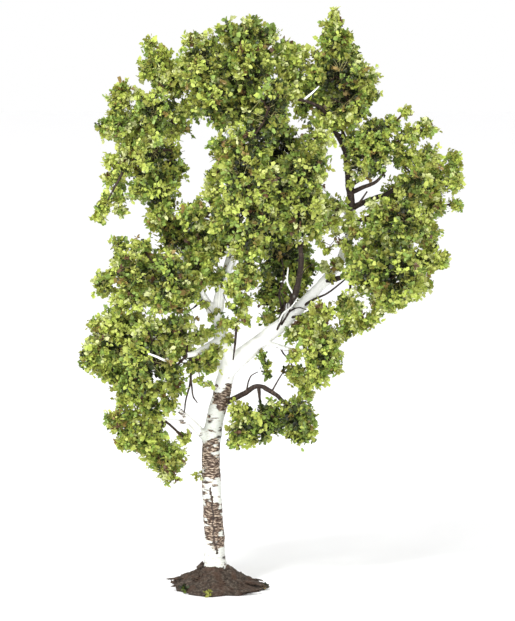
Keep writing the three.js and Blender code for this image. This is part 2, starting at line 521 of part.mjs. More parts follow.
// The clump grows from its stem, which runs from the limb's tip to the nearest lobe. Each further
// target, the nearest first, is joined by a twig to the nearest joint so far. Leaves stand on the
// twigs' ends and over the core.
function growClump(clump, random) {
  const limb = limbs.find((candidate) => candidate.name === clump.carrier);
  const foot = limb.curve.getPointAt(1);
  const byDistance = (a, b) => a.distanceTo(foot) - b.distanceTo(foot);
  const [nearest, ...others] = clump.lobes.map((lobe) => lobe.middle).sort(byDistance);
  const joints = [{ place: nearest, radius: stemRadius }];
  const solids = clump.lobes.map((lobe) => lobeCore(clump, lobe, random));
  solids.push(twigSolid(foot, nearest, stemRadius, stemRadius));
  const leaves = [];
  const middles = [];

  const joinTo = (place, radius) => {
    joints.sort((a, b) => a.place.distanceTo(place) - b.place.distanceTo(place));
    const from = joints[0];
    solids.push(twigSolid(from.place, place, from.radius, radius));
    joints.push({ place, radius });
    return from;
  };
  const addLeaf = (root, direction, size) => {
    direction.z -= leafDroop * random();
    direction.normalize();
    const varied = size * (1 + leafVariation * (2 * random() - 1));
    const geometry = leafGeometry(root, direction, 2 * Math.PI * random(), varied);
    const middle = root.clone().addScaledVector(direction, (leafLength / 2) * size);
    const crowded = middles.some((other) => other.distanceTo(middle) < leafSpacing * leafCrowding * size);
    if (crowded || !leafFits(clump, geometry, root)) return;
    middles.push(middle);
    leaves.push(toSolid(geometry));
  };

  for (const middle of others) joinTo(middle, stemRadius);

  const targets = clump.lobes.flatMap((lobe) => {
    const count = Math.round(lobe.radius * twigsPerLobe);
    return Array.from({ length: count }, () => {
      const target = randomDirection(random).multiplyScalar(lobe.radius * twigReach).add(lobe.middle);
      target.lobeRadius = lobe.radius;
      return target;
    });
  });
  for (const target of targets.sort(byDistance)) {
    joints.sort((a, b) => a.place.distanceTo(target) - b.place.distanceTo(target));
    if (outside(clump, target) < -twigDepth || !twigFits(clump, joints[0].place, target)) continue;
    const from = joinTo(target, twigRadius);
    const along = new THREE.Vector3().subVectors(target, from.place).normalize();
    const size = leafSize(target.lobeRadius);
    const root = target.clone().addScaledVector(along, -leafLength * size * twigLeafRoot);
    for (const spread of [-twigLeafSpread, twigLeafSpread]) {
      addLeaf(root, along.clone().addScaledVector(randomDirection(random), spread), size);
    }
  }

  for (const lobe of clump.lobes) {
    const size = leafSize(lobe.radius);
    const depth = Math.max(0, lobe.radius + leafStandOff - leafLength * size);
    const count = Math.round((4 * Math.PI * lobe.radius ** 2) / (leafSpacing * size) ** 2);
    for (let i = 0; i < count; i += 1) {
      const height = 1 - (2 * i + 1) / count;
      const angle = i * goldenAngle + lobe.radius;
      const flat = Math.sqrt(1 - height * height);
      const out = new THREE.Vector3(flat * Math.cos(angle), flat * Math.sin(angle), height);
      const root = lobe.middle.clone().addScaledVector(out, depth);
      addLeaf(root, out.addScaledVector(randomDirection(random), leafJitter), size);
    }
  }
  const whole = wasm.Manifold.union([...solids, ...leaves]);
  return joinedBody([whole], clearOf(whole, limbKeepouts));
}

// Mound

// The rim wanders in and out and its top is rough, while the underside stays flat on the ground
function moundSolid() {
  const points = moundProfile.map(([out, up]) => new THREE.Vector2(out * moundRadius, up * moundHeight));
  const geometry = new THREE.LatheGeometry(points, moundSides);
  geometry.rotateX(Math.PI / 2);
  const position = geometry.attributes.position;
  for (let i = 0; i < position.count; i += 1) {
    const x = position.getX(i);
    const y = position.getY(i);
    const z = position.getZ(i);
    const angle = Math.atan2(y, x);
    const out = Math.hypot(x, y) / moundRadius;
    let rim = 1;
    let rough = 0;
    for (const [waves, depth, start] of rimRipples) rim += depth * Math.sin(waves * angle + start);
    for (const [waves, rise, twist] of topRipples) rough += rise * Math.sin(waves * angle + twist * out);
    const lift = rimLift * out ** rimLiftPower * Math.sin(2 * (angle + rimLiftTurn)) ** 2;
    position.setXYZ(i, x * rim, y * rim, z > groundTolerance ? z + out * rough + lift : 0);
  }
  return toSolid(geometry);
}

// Scene graph

const tree = new THREE.Group();

function addNode(name, solid, material) {
  const mesh = solid.getMesh();
  const geometry = new THREE.BufferGeometry();
  geometry.setAttribute("position", new THREE.BufferAttribute(mesh.vertProperties, 3));
  geometry.setIndex(new THREE.BufferAttribute(mesh.triVerts, 1));
  geometry.computeVertexNormals();
  const node = new THREE.Mesh(geometry, materials[material]);
  node.name = name;
  tree.add(node);
}

const trunk = limbs[0];
addNode("mound", joinedBody([moundSolid()], [trunk.keepout]), "earth");
for (const limb of limbs) addNode(limb.name, limb.solid, limb.bark);
clumps.forEach((clump, i) => addNode(clump.name, growClump(clump, seededRandom(i + 1)), "leaf_flock"));

export default tree;
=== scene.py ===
"""Looks of the model birch tree: bark with relief, wiry twigs, sprays of leaf flakes and a mound of earth.

The limbs and clumps repeat the rows of the part's source, in millimetres. Twigs, fibres and leaves grow on
from the limbs' tips by the source's rule, carried on to finer twigs.
"""

import math

import bpy
import numpy as np
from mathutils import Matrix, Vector


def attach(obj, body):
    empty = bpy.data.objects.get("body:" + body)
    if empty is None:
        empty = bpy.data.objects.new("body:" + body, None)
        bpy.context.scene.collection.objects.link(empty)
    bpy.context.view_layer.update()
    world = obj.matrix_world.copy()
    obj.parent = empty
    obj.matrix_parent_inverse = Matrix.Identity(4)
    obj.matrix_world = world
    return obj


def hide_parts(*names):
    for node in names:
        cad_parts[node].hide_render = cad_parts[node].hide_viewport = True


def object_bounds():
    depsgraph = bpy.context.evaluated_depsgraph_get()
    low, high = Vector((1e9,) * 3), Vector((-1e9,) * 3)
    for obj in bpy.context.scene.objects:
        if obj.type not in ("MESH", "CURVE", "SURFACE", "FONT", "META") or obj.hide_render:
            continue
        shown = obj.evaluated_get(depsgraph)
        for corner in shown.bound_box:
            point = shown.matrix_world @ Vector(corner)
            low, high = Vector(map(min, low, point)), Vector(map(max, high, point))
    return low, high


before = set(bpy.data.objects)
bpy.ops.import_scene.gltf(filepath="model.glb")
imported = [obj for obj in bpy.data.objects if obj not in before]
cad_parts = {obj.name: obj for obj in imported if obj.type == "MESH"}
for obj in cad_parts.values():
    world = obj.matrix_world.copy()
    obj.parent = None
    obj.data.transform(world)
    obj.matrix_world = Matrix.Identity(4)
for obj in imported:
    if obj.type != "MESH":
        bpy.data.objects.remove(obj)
cad_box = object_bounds()

MM = 0.001
BODY = "root"

# Sizes are in millimetres. The wider foot of a limb, as in the part's source
COLLAR_SWELL = 0.25
COLLAR_LENGTH = 1.6
# The mound, as in the part's source
MOUND_RADIUS = 14.3
MOUND_HEIGHT = 7.2
SLUMP = 0.6
SLUMP_FROM = 4.0
SLUMP_RUN = 10.0
RIM_LIFT = 0.4
RIM_LIFT_TURN = 0.6
RIM_LIFT_POWER = 8
MOUND_PROFILE = [(0.92, 0), (1, 0.16), (0.8, 0.38), (0.52, 0.66), (0.26, 0.94), (0, 1)]
RIM_RIPPLES = [(1, 0.09, 1.57), (3, 0.04, 0.6), (7, 0.04, 2), (11, 0.03, 0)]
TOP_RIPPLES = [(5, 0.5, 9), (8, 0.35, -14)]
# Growth of the clumps: lobes, twigs and fibres, with a gap to the limbs and small open places
LOBES_PER_RADIUS = 0.55
STEM_RADIUS = 0.42
STEM_TAPER = 0.8
SPRIG_STEM = 0.13
TWIGS_PER_AREA = 0.3
TWIG_RADIUS = 0.24
TWIG_TAPER = 0.7
TWIG_REACH = (0.35, 0.85)
FIBRE_RADII = (0.07, 0.063, 0.035)
LIMB_MARGIN = 0.35
SPRIG_MARGIN = 0.2
BROAD_LOBE = 5.0
HOLE_SIZE = 4.5
HOLE_SHARE = 0.29
# Sprays of leaves, with the spread of their depths and lengths, and the leaves on each
SPRAYS_PER_AREA = 5.4
SPRAY_DEPTHS = (0.15, 1)
SPRAY_LENGTH = 2.4
SPRAY_LENGTHS = (0.6, 1.2)
SPRAY_SCATTER = 0.7
SPRAY_SAG = (0, 0, 0.25)
LEAVES_PER_SPRAY = 8
LEAF_LENGTH = 1.2
LEAF_SIZES = (-0.05, 0.25)
LEAF_AIM = 0.5
LEAF_GAP = 0.1
# How finely routes, tubes, the bark's skin and the mound are divided
CURVE_STEPS = 16
BARK_SPACING = 1.0
DARK_SPACING = 0.6
TWIG_SPACING = 0.7
BARK_SIDES = 20
PAINTED_SIDES = 16
DARK_SIDES = 12
TWIG_SIDES = 7
FINE_TWIG_SIDES = 5
FIBRE_SIDES = 3
BARK_CELL = 0.34
MOUND_RINGS = 60
MOUND_SPOKES = 220
CRUMBS = 700
NOISE_CELLS = 32
# The lowest points of the bark, and of the twigs, leaves, crumbs and blades of earth
BARK_FOOT = 0.3
FLOOR_GAP = 0.05
# How many points are measured at a time, to spare memory
BLOCK = 4000

# The camera of the photograph: what it looks at, from how far and how high
AIM = (13.08, 0.0, 86.57)
DISTANCE = 900.0
ELEVATION = math.radians(6)
IMAGE_SIZE = (515, 621)
PIXELS_AT_UNIT = 2927.0

# Each limb: radius at the foot and at the tip and the points of its route, as in the part's source
WHITE_LIMBS = {
    "trunk": (3.3, 2.6, [(0, 0, 1.6), (0, 0, 6), (-0.4, 0, 18), (-1.3, 0, 37), (-0.7, 0, 49.5),
        (2, 0, 60.5), (4.3, 0, 70.5)]),
    "leader": (2.1, 0.75, [(4.3, 0, 70.5), (2.5, -1, 77.5), (0.9, -1, 83.5), (1.9, -1, 93), (4.9, 0, 103),
        (6.5, 2, 113), (7, 3, 126.5), (7.7, 3, 140.5), (7.7, 2, 144)]),
    "right_bough": (2.7, 1.35, [(4.3, 0, 69.5), (11, 0, 74.5), (17, 0, 79.5), (22, 0, 83.5), (30, 0, 91.5),
        (38, 0, 100.5)]),
    "right_riser": (1.3, 0.7, [(38, 0, 100.5), (41, 0, 110), (41.7, 0, 119), (40.5, 0, 131.5),
        (39.2, 0, 141)]),
    "left_bough": (1.5, 0.65, [(0.9, -1, 83), (-3.7, 1, 91), (-8.4, 5, 100), (-12, 9, 109), (-15, 10, 120),
        (-14.5, 7, 135.5), (-13, 4, 145), (-12.5, 1, 150.5)]),
    "column_limb": (1.1, 0.7, [(1.9, -1, 93), (4.1, -5, 99.5), (6.4, -10, 105), (8.2, -14.5, 109)]),
    "crown_left_limb": (0.8, 0.55, [(7.5, 3, 135), (4.5, -1, 140), (1.5, -5, 144.5)]),
    "crown_back_limb": (0.85, 0.6, [(7, 3, 126.5), (7.7, 9, 132), (7.6, 15, 137.5), (7.4, 19, 141.5)]),
    "centre_back_limb": (1, 0.6, [(4.3, 0, 101), (7.7, 7, 106), (11, 14, 110), (13, 18.5, 112.5)]),
    "right_low_limb": (1, 0.6, [(14.5, 0, 77), (19.4, -4, 76), (23.6, -6, 75), (27.2, -7, 75.2)]),
    "centre_right_limb": (0.9, 0.6, [(21, 0, 83), (24.8, -5, 93), (26.3, -9, 101.5), (26, -12, 107.5)]),
    "left_link_limb": (0.75, 0.5, [(-5.9, 3, 95), (-7.7, 1, 99.5), (-8.9, 0, 103)]),
    "left_shoulder_limb": (0.8, 0.55, [(-13.4, 10, 113), (-15.1, 4, 116.6), (-16.7, -3, 119)]),
    "left_outer_limb": (0.75, 0.5, [(-14.5, 8, 132), (-17.8, 4, 132.6), (-21, 0, 133.8)]),
    "left_back_limb": (0.75, 0.5, [(-14.9, 10, 121.5), (-16.2, 12, 122.2), (-17.6, 14, 123.2)]),
    "left_mid_limb": (0.9, 0.6, [(-2.8, 0, 89.2), (-3.6, -6, 92.3), (-4.4, -11, 95.2)]),
    "left_mid_back_limb": (0.9, 0.6, [(-6.8, 4, 97), (-8.4, 8.5, 97.8), (-9.8, 12.5, 98.3)]),
    "left_low_limb": (1.3, 0.8, [(2.2, -1, 78.2), (-2.1, -5, 76), (-5.7, -9, 74.5), (-8.3, -12, 74.2)]),
    "left_low_outer_limb": (1.1, 0.65, [(1.9, -1, 80.6), (-4.7, 3, 77.1), (-12.4, 3, 76.8),
        (-21.2, -2, 79)]),
    "left_low_back_limb": (1.2, 0.7, [(3.7, 0, 68), (-3.3, 9, 70.8), (-10.2, 15, 72.6)]),
    "left_bottom_bough": (1.4, 0.8, [(-1, 0, 45), (-7.7, -2, 52.6), (-11.3, -5, 56.7),
        (-13.4, -7.4, 58.8)]),
    "left_bottom_limb": (0.85, 0.55, [(-7.4, -2, 52.2), (-12.2, -5, 53), (-16.2, -7, 53.9)]),
}
DARK_LIMBS = {
    "bridge_limb": (0.75, 0.5, [(39.8, 0, 136), (36.5, 1, 142), (32.2, 1, 148), (30.6, 1, 151)]),
    "top_back_limb": (0.8, 0.5, [(40.1, 0, 134.5), (39.8, 8, 138), (39.5, 14.5, 141.5)]),
    "right_shoulder_limb": (0.75, 0.55, [(41.1, 0, 125), (43.5, -2, 126.5), (45, -4, 127.6)]),
    "right_far_limb": (0.9, 0.6, [(41.7, 0, 118), (47.7, 3, 120.5), (52, 3, 122), (54.8, 0, 123.7)]),
    "right_mid_limb": (0.75, 0.55, [(41.4, 0, 113), (43.8, -1, 114), (46, -3, 115.5)]),
    "right_back_limb": (0.9, 0.6, [(38.6, 0, 102.5), (43, 7, 102.5), (46.8, 13.5, 102.7)]),
    "right_outer_limb": (1, 0.65, [(33.8, 0, 95.5), (37.7, -5, 97), (40.6, -9, 98.4)]),
    "inner_limb": (0.85, 0.55, [(18.5, 0, 80.5), (21, 3, 86), (21.5, 5, 88)]),
    "right_bottom_limb": (0.95, 0.6, [(1.8, 0, 57.3), (9, -1, 61), (13, -2, 63.4), (17.5, -3, 61.7),
        (21.2, -4, 58.7)]),
}

# Each clump: the limb that carries it and its arms of lobes, as in the part's source
CLUMPS = {
    "top_spire": ("right_riser", [
        [(40, -4, 149.5, 7.3), (38.5, -4, 157.5, 8.3), (36.5, -2, 168, 4.8), (36.5, -1, 178, 1.6)],
        [(41.5, 2, 153.5, 5.5), (47, 3, 157.5, 3.2)], [(47.5, 1, 152.5, 2.8)],
        [(39.5, 0, 163, 3.6), (41.5, 0, 166.5, 2)], [(34.5, -2, 173, 2.2), (40, -2, 171, 2.2)],
        [(34.5, 0, 160.5, 4), (31, 0, 164.5, 2.2)]]),
    "top_spire_back": ("top_back_limb", [
        [(39, 20, 149, 8), (39, 18, 161, 7.5)], [(40, 10, 155, 5.5)], [(33, 15, 155, 5)]]),
    "top_bridge": ("bridge_limb", [
        [(31, 0, 156, 4.3), (23, 3, 161.5, 4.6), (20, 2, 166.3, 3.2)], [(29.5, 0, 160, 3), (26, 0, 165, 3)],
        [(22.8, 1, 166.5, 2.4)], [(24, 2, 156, 4)], [(28.5, -1, 151.5, 3.2), (26.5, -1, 148, 2.4)]]),
    "crown_top": ("leader", [
        [(7.5, 0, 150, 6.7), (9.5, -4, 160.5, 8.2), (10.8, -2, 170.5, 6.1)],
        [(8, -8, 163.5, 5.4), (4, -8, 171.5, 4)], [(14.5, 0, 163, 4), (16.5, 0, 171, 2.8)]]),
    "crown_top_left": ("crown_left_limb", [
        [(-0.5, -8, 152, 7.2), (-5.5, -8, 161.5, 6.6), (-6.5, -6, 169.5, 2.6)], [(-1.5, -7, 169, 3)],
        [(1.5, -9, 144.8, 2.4)], [(-4.5, -2, 150, 4.3), (-9, -2, 148.5, 3.2), (-10, -4, 143.5, 3)]]),
    "crown_top_back": ("crown_back_limb", [
        [(7, 24, 150, 8), (4, 23, 162, 7.6)], [(6, 12, 157, 6.5)], [(-4, 16, 154, 5.4)]]),
    "left_spire": ("left_bough", [
        [(-13, 0, 157, 5.5), (-18.5, 0, 161.5, 4.3), (-19.5, 0, 168.5, 2.1)],
        [(-18, 0, 159.5, 2.8), (-21, 0, 159, 1.6)], [(-15.5, -1, 165, 2.4)], [(-15, 8, 158, 4.5)]]),
    "left_shoulder": ("left_shoulder_limb", [
        [(-16.5, -8, 119, 4.4), (-17, -10, 124.5, 5.8), (-17, -12, 136.5, 7), (-17.5, -10, 148, 6.3)],
        [(-14.5, -6, 131.5, 4.6), (-10.5, -4, 129.5, 2.7)],
        [(-12.8, -7, 141.5, 2.6), (-12.8, -7, 136, 2.2)], [(-19.5, -6, 148.5, 3.6), (-23, -4, 153.5, 1.8)],
        [(-23, -8, 124, 3.2)], [(-18.5, -6, 114, 2.4)]]),
    "left_shoulder_outer": ("left_outer_limb", [
        [(-25, -4, 135.5, 5.2), (-29.5, -4, 144, 4.8), (-29, -4, 151.5, 4.2), (-27.5, -4, 154.6, 2.6)],
        [(-33, -4, 142, 2.6)],
        [(-27.5, -6, 131.5, 3), (-32, -5, 127, 2.2), (-33, -6, 121.5, 2), (-35, -6, 116, 2)],
        [(-31.5, -5, 133, 2.4)], [(-29.5, -5, 127.6, 1.9), (-28.6, -6, 118, 1.9)], [(-28, 6, 143, 4.6)]]),
    "left_shoulder_back": ("left_back_limb", [
        [(-20, 18, 129, 6.9), (-21, 16, 144, 6.9)], [(-19, 6, 143, 5)]]),
    "left_link": ("left_link_limb", [
        [(-6, 0, 107.5, 4.3), (-12.5, 0, 110, 4.5), (-15, -1, 113, 3)], [(-2.5, 8, 109, 5)]]),
    "front_column": ("column_limb", [
        [(11, -23, 117.5, 8.9), (10.5, -25, 128, 8.9), (10.5, -21, 138.5, 7.2), (15.5, -21, 146.5, 7.1),
         (17.5, -20, 153.5, 4.8)], [(4.5, -20, 116, 6.6), (-6, -16, 117.5, 4.8)],
        [(5, -18, 133, 3.8), (1.5, -18, 138.5, 2.7)], [(0, -18, 124.5, 3)],
        [(18, -13, 147, 4.2), (22, -10, 153.5, 3.6)],
        [(10, -21, 107.5, 5), (10, -20, 99.5, 4.4), (8.5, -20, 91.5, 2.6)], [(5.4, -16, 96, 2.8)],
        [(-0.5, -17, 129, 2.2)]]),
    "centre_right": ("centre_right_limb", [
        [(25.5, -14, 117.5, 8.4), (27, -14, 130.5, 7.8), (31.5, -12, 139.5, 4.5), (32.5, -8, 145, 2.4)],
        [(31.5, -8, 119.5, 4.3), (36, -6, 114.5, 3)], [(31, -9, 111.5, 2.4)], [(37.5, -5, 119.5, 2.6)]]),
    "centre_back": ("centre_back_limb", [
        [(17.5, 26, 117.5, 9.4), (19, 28, 135, 9.4)], [(21, 14, 126, 7)],
        [(9, 16.5, 123.5, 5.6), (3, 14, 130.5, 5.4)]]),
    "inner_dark": ("inner_limb", [
        [(18, 8, 91, 5.2), (20.5, 10, 100.5, 7)], [(26, 10, 96, 4.4), (28.5, 7, 100, 2.6)],
        [(23.5, 6, 91.5, 3.6), (25.5, 4, 94, 2.6)], [(16.5, 5, 84, 2.6)],
        [(24, 22, 103.5, 5.7), (16.5, 20, 106.5, 5.6)]]),
    "left_mid": ("left_mid_limb", [
        [(-5.5, -14, 99.5, 5.4), (-14.5, -18, 98.5, 7.8), (-25, -16, 100, 6.6)],
        [(-27.5, -8, 102, 4), (-33, -6, 95.5, 4)], [(-22, -11, 107, 3.4)], [(-28.5, -12, 90, 3)],
        [(-29, -9, 107.4, 2.2)], [(-5, -12, 105, 4), (0, -10, 107, 3.4)],
        [(-9, -14, 94.5, 4.8), (-11, -12, 89, 3.2)], [(-16, -17, 92, 5), (-24, -15, 92, 4.5)],
        [(-3.5, -4, 103, 4.3), (0.5, -4, 97.5, 3.4)]]),
    "left_mid_back": ("left_mid_back_limb", [
        [(-14, 18, 99.5, 6.6), (-24.5, 18, 93, 6.6)], [(-20, 6, 97, 6)], [(-7, 15, 104, 4.6)]]),
    "left_low": ("left_low_limb", [
        [(-11.5, -14, 82, 5.5), (-19.5, -18, 74, 7.8), (-24, -14, 65.5, 4.9)], [(-20, -16, 82, 4.5)],
        [(-13.5, -12, 69.5, 4), (-14, -12, 59.5, 2.7)], [(-11.5, -10, 64.5, 2.8)],
        [(-17.5, -12, 63.5, 2.6)], [(-6, -8, 71, 3), (-1.5, -9, 70.5, 2.6), (0.5, -8.5, 75, 2.4)],
        [(-8.5, -9, 79.5, 3), (-4, -6, 79.5, 2.2)], [(-2, -9.5, 74, 2.2)]]),
    "left_low_outer": ("left_low_outer_limb", [
        [(-26, -6, 82, 5.5), (-32.5, -6, 76, 6.7), (-37.2, -6, 73, 4.8)],
        [(-31, -6, 68.5, 4.8), (-27.5, -6, 64, 3.5)], [(-31.5, -6, 84, 3.7), (-36, -6, 83, 2.6)],
        [(-31, 5, 74.5, 5.5)]]),
    "left_low_back": ("left_low_back_limb", [
        [(-17.5, 16, 74, 7.6), (-27.5, 16, 69.5, 6.9)]]),
    "left_bottom": ("left_bottom_limb", [
        [(-19, -8, 56, 3.8), (-27, -8, 52.5, 5), (-24, -8, 48.5, 3.8)], [(-31, -8, 54.5, 3)],
        [(-28, -8, 47, 2.4)], [(-21.5, -9, 60, 3.2), (-27.5, -9, 60, 2.8)],
        [(-20, -8, 48, 4.7), (-15, -8, 40.5, 4.4), (-14, -8, 37, 3)], [(-19.5, -8, 42.5, 2.6)],
        [(-15, -6, 44.5, 3.2), (-12, -6, 43, 2.8), (-9.5, -6, 48, 1.9)], [(-20, 2, 49, 4.2)]]),
    "right_shoulder": ("right_shoulder_limb", [
        [(46, -6, 133.5, 6.6), (48.5, -5, 140, 6), (53.5, -4, 143.5, 3), (58, -4, 148, 1.8)],
        [(42, -4, 139, 2.6)], [(49, 6, 136, 5.4)]]),
    "right_far": ("right_far_limb", [
        [(61, -4, 125.5, 5.8), (65, 0, 133, 4.3), (64.5, 2, 142, 3.1)],
        [(66, 2, 125.5, 6), (73, 2, 130, 2.8), (73.3, 2, 133.5, 2.4)], [(55, -4, 138.5, 2.4)],
        [(73.5, 1, 126, 2.6)], [(67, 0, 119, 3.8), (74, 0, 119, 2.2)],
        [(58, -2, 134, 3.6), (59.5, -3, 140.5, 3)], [(64, 12, 125, 4.8)]]),
    "right_mid": ("right_mid_limb", [
        [(50.5, -4, 117, 5.5), (57.5, -6, 114.5, 7), (64, -4, 111.5, 4.3), (65.5, -4, 107.5, 3.2)],
        [(46.5, -5, 111.5, 3), (42, -5.5, 112, 2.4)]]),
    "right_mid_low": ("right_outer_limb", [
        [(46, -14, 99.5, 6.6), (55, -16, 99, 8.7)], [(44, -8, 104.5, 3.6), (40, -6.5, 107.5, 2.2)],
        [(62.5, -6, 101.5, 4.6), (67.5, -6, 103.5, 2.9), (69.5, -6, 102, 2.2)],
        [(60, -6, 94, 4), (64, -6, 95.5, 2.4)],
        [(51.5, -12, 91, 4.6), (41, -14, 89, 4.5), (32.5, -14, 87.5, 3.6)], [(56, -11, 90.5, 2.2)],
        [(47.5, -13, 85.5, 2.6), (40, -12, 82, 2.6)]]),
    "right_mid_back": ("right_back_limb", [
        [(53, 20, 103.5, 8.5), (58, 18, 119, 6.9)], [(56, 7, 108, 5.5)]]),
    "right_low": ("right_low_limb", [
        [(29.5, -8, 79.5, 3.8), (33.5, -8, 76.5, 6.4), (31, -8, 68, 4.3)], [(36, -6, 70, 3)],
        [(30.5, -6.5, 84.5, 3), (26, -5, 80.5, 3), (23.5, -5.5, 79.5, 2.2)],
        [(25, -3, 67.5, 3), (27.5, -2, 64.5, 2.2), (28.5, -2, 60.5, 2)], [(33, 4, 74, 5.2)]]),
    "right_bottom": ("right_bottom_limb", [
        [(25, -4, 54.5, 5.5), (14.5, -6, 52.5, 5.5), (8, -6, 50.5, 4.2)], [(8.5, -6, 55, 3.2)],
        [(18, -6, 58, 2.4)], [(25.5, 0, 52.5, 4.3), (28, -1, 49.5, 3.2)], [(25, -3, 48.5, 3)],
        [(11, -6, 48.4, 2.6), (6.8, -6, 47.2, 2.4)], [(6.4, -6, 57, 2)],
        [(26, 7, 53, 3.5), (26, 14, 53, 4.7), (17, 16, 49.5, 4.4)]]),
}

# Small sprigs that only show here: where each leaves its limb and its arm of lobes
SPRIGS = [
    ((1.4, -2, 82.5), [(3, -5, 83, 1.9), (-1.5, -5, 80.8, 1.7), (-5.5, -5, 78.8, 1.6)]),
    ((1.6, -2, 83.5), [(6, -5, 83.4, 1.9), (9.8, -5, 84.4, 1.5)]),
    ((3.6, -2, 76), [(4, -4.6, 78.6, 1.6)]),
    ((-4, -0.5, 36.6), [(-5.2, -1.2, 35.6, 1.1)]),
    ((-1.8, -13.2, 1), [(-1.8, -14.4, 1.2, 0.8)]),
    ((-9, -8.4, 1.2), [(-9.4, -9, 1.7, 0.3)]),
    ((14.6, -3, 0.8), [(15.2, -3.4, 1.2, 0.4)]),
    ((14, -1.5, 76), [(14.4, -3, 73.5, 1.4), (15.6, -3.4, 70.4, 1.5), (16, -3.4, 67.2, 1.2)]),
    ((-5.4, -8.6, 72.5), [(-4.6, -8, 66, 0.9), (-1.5, -8, 64.6, 0.9)]),
    ((41.4, -1, 113.5), [(40.5, -3, 113.4, 2), (41.4, -3.2, 115.8, 1.4)]),
    ((41.4, -1, 124.6), [(41.8, -2.8, 126.2, 1.2)]),
    ((38.6, -1, 108), [(36.6, -3, 110.4, 1), (33, -4, 108, 0.9), (34.4, -4.2, 105.4, 1.3)]),
    ((1.6, -2, 88), [(1.2, -3.6, 86.6, 0.9), (-1.4, -3.8, 84.8, 0.9), (-3.6, -3.6, 89.2, 0.7)]),
    ((2.4, -2, 93.5), [(4.2, -3.6, 88.2, 0.7)]),
    ((-4.5, 1, 91.5), [(-6.5, -3, 84.5, 0.9), (-8.6, -3, 86, 0.8)]),
    ((-3, 0, 90.4), [(-4.8, -4, 92, 1.6), (-3.2, -4, 89.4, 1.1)]),
    ((-6.4, -9.4, 74.4), [(-8.6, -8.4, 75.2, 2.2), (-12, -8, 74.6, 2)]),
    ((24, -1.5, 85), [(26.6, -4.5, 83.2, 2.2), (30.6, -5, 84, 2.2)]),
    ((35, -1.5, 97.4), [(33.4, -4, 100.4, 1.6), (37.4, -4.5, 101.4, 1.9), (35.6, -4, 97.6, 1.4)]),
    ((24, -6.2, 75), [(24.6, -7.4, 73.6, 2)]),
    ((5.6, -1, 105), [(3.4, -4, 108, 1.6), (0.4, -4, 111.6, 1.6)]),
    ((6.8, 1, 115), [(1.6, -3, 118.8, 1.7), (-1.4, -4, 121, 1.5)]),
    ((8.5, -20, 91.5), [(7.8, -20, 89, 1.5), (8.2, -20, 86.8, 1)]),
    ((8.5, -20, 94), [(6, -19, 94.4, 1.4), (5.8, -18.4, 98, 1.6)]),
    ((36.5, -1.6, 171.4), [(36.2, -1.8, 172.8, 2.2), (36.8, -1.4, 175, 1.9), (36.4, -1.2, 176.4, 1.5)]),
]

# Bare dark twigs: radius at the foot and the points of the route
DARK_TWIGS = [
    (0.46, [(-7.2, -10.4, 74), (-7.4, -9, 66), (-8.7, -8.5, 60.5), (-9.3, -8, 56)]),
    (0.36, [(-7.3, -9.2, 67), (-6.6, -8, 61), (-5.3, -8, 59)]),
    (0.3, [(-15.8, -7, 53.6), (-16.7, -7.2, 51), (-16.6, -7, 44.7)]),
    (0.62, [(13.4, -2, 63), (13.7, -2.6, 60.5), (13.9, -2.4, 57.4)]),
    (0.52, [(6.2, -4.4, 84.5), (6.6, -6.4, 82), (6.2, -7, 77), (5.6, -7, 72)]),
    (0.5, [(41.5, 0, 117.4), (43.8, -1.8, 119.4), (46.6, -2.6, 123.4)]),
    (0.8, [(41.2, 0, 122.6), (45.2, -2.5, 124.6), (49.2, -3.5, 126.4), (52.3, -4, 130)]),
    (0.45, [(39.4, 0, 140), (36.5, -0.6, 141.5), (33.6, -1, 145.5), (32.6, -1, 149)]),
    (0.85, [(37.2, -0.5, 142.4), (32.8, -5.6, 148.6), (28.2, -7.6, 151), (24, -7.6, 151.8)]),
    (0.32, [(21.2, -0.5, 83), (22.5, -2.5, 86), (25.5, -5, 88), (28, -6, 87.4)]),
    (0.45, [(26.5, 0, 87.5), (30, -3.5, 90.2), (34.5, -4.5, 92.4), (41, -5, 97.6)]),
    (0.32, [(4.7, 0, 102), (8.5, -2, 107), (13, -3, 112.5), (14.4, -3.5, 120.5)]),
    (0.3, [(9.6, -1.2, 61.3), (11, -2.4, 66.5), (13.3, -3, 68)]),
    (0.28, [(17.4, -3, 61.7), (20, -4, 66.5), (23.6, -5, 72)]),
    (0.26, [(-8.2, 5, 99.6), (-8.4, 2, 103.5), (-7.2, 1, 106.5)]),
    (0.26, [(-9.6, 6.4, 102.5), (-11.5, 4, 105.5), (-13.2, 2, 107.6)]),
    (0.4, [(-14.8, 8.6, 132), (-13.4, 4, 138), (-13.8, 0, 146), (-15.6, -2, 152)]),
    (0.34, [(20.6, 4, 86.5), (19.8, -1, 92), (21.2, -3, 97.5), (20.4, -4, 103)]),
    (0.3, [(25.3, -6, 96), (28, -7.4, 100.4), (30.4, -8, 101.8)]),
    (0.34, [(19, -1.8, 80.6), (20.6, -3.8, 84.6), (21.4, -4, 89), (19.8, -4.4, 93)]),
    (0.34, [(20.4, -2, 82.4), (23, -4.6, 87.4), (23.2, -5, 92.4)]),
    (0.4, [(23.6, -1.6, 84.6), (26.4, -4, 85.4), (30.6, -4.6, 87.6), (34.4, -5, 87)]),
    (0.34, [(26.4, -4, 85.4), (29, -5, 84), (32.4, -6, 84.6)]),
    (0.3, [(19.6, -4, 76), (21.4, -5, 73.4), (23.6, -5, 70.4), (24.4, -4.6, 67.4)]),
    (0.3, [(-3.4, 0, 90.4), (-6.4, -1.6, 87.6), (-9.4, -2, 86.4)]),
    (0.5, [(-26.5, -5, 132), (-28.8, -8, 127.6), (-30.6, -8.4, 124.4), (-32.2, -8.4, 121.2)]),
]
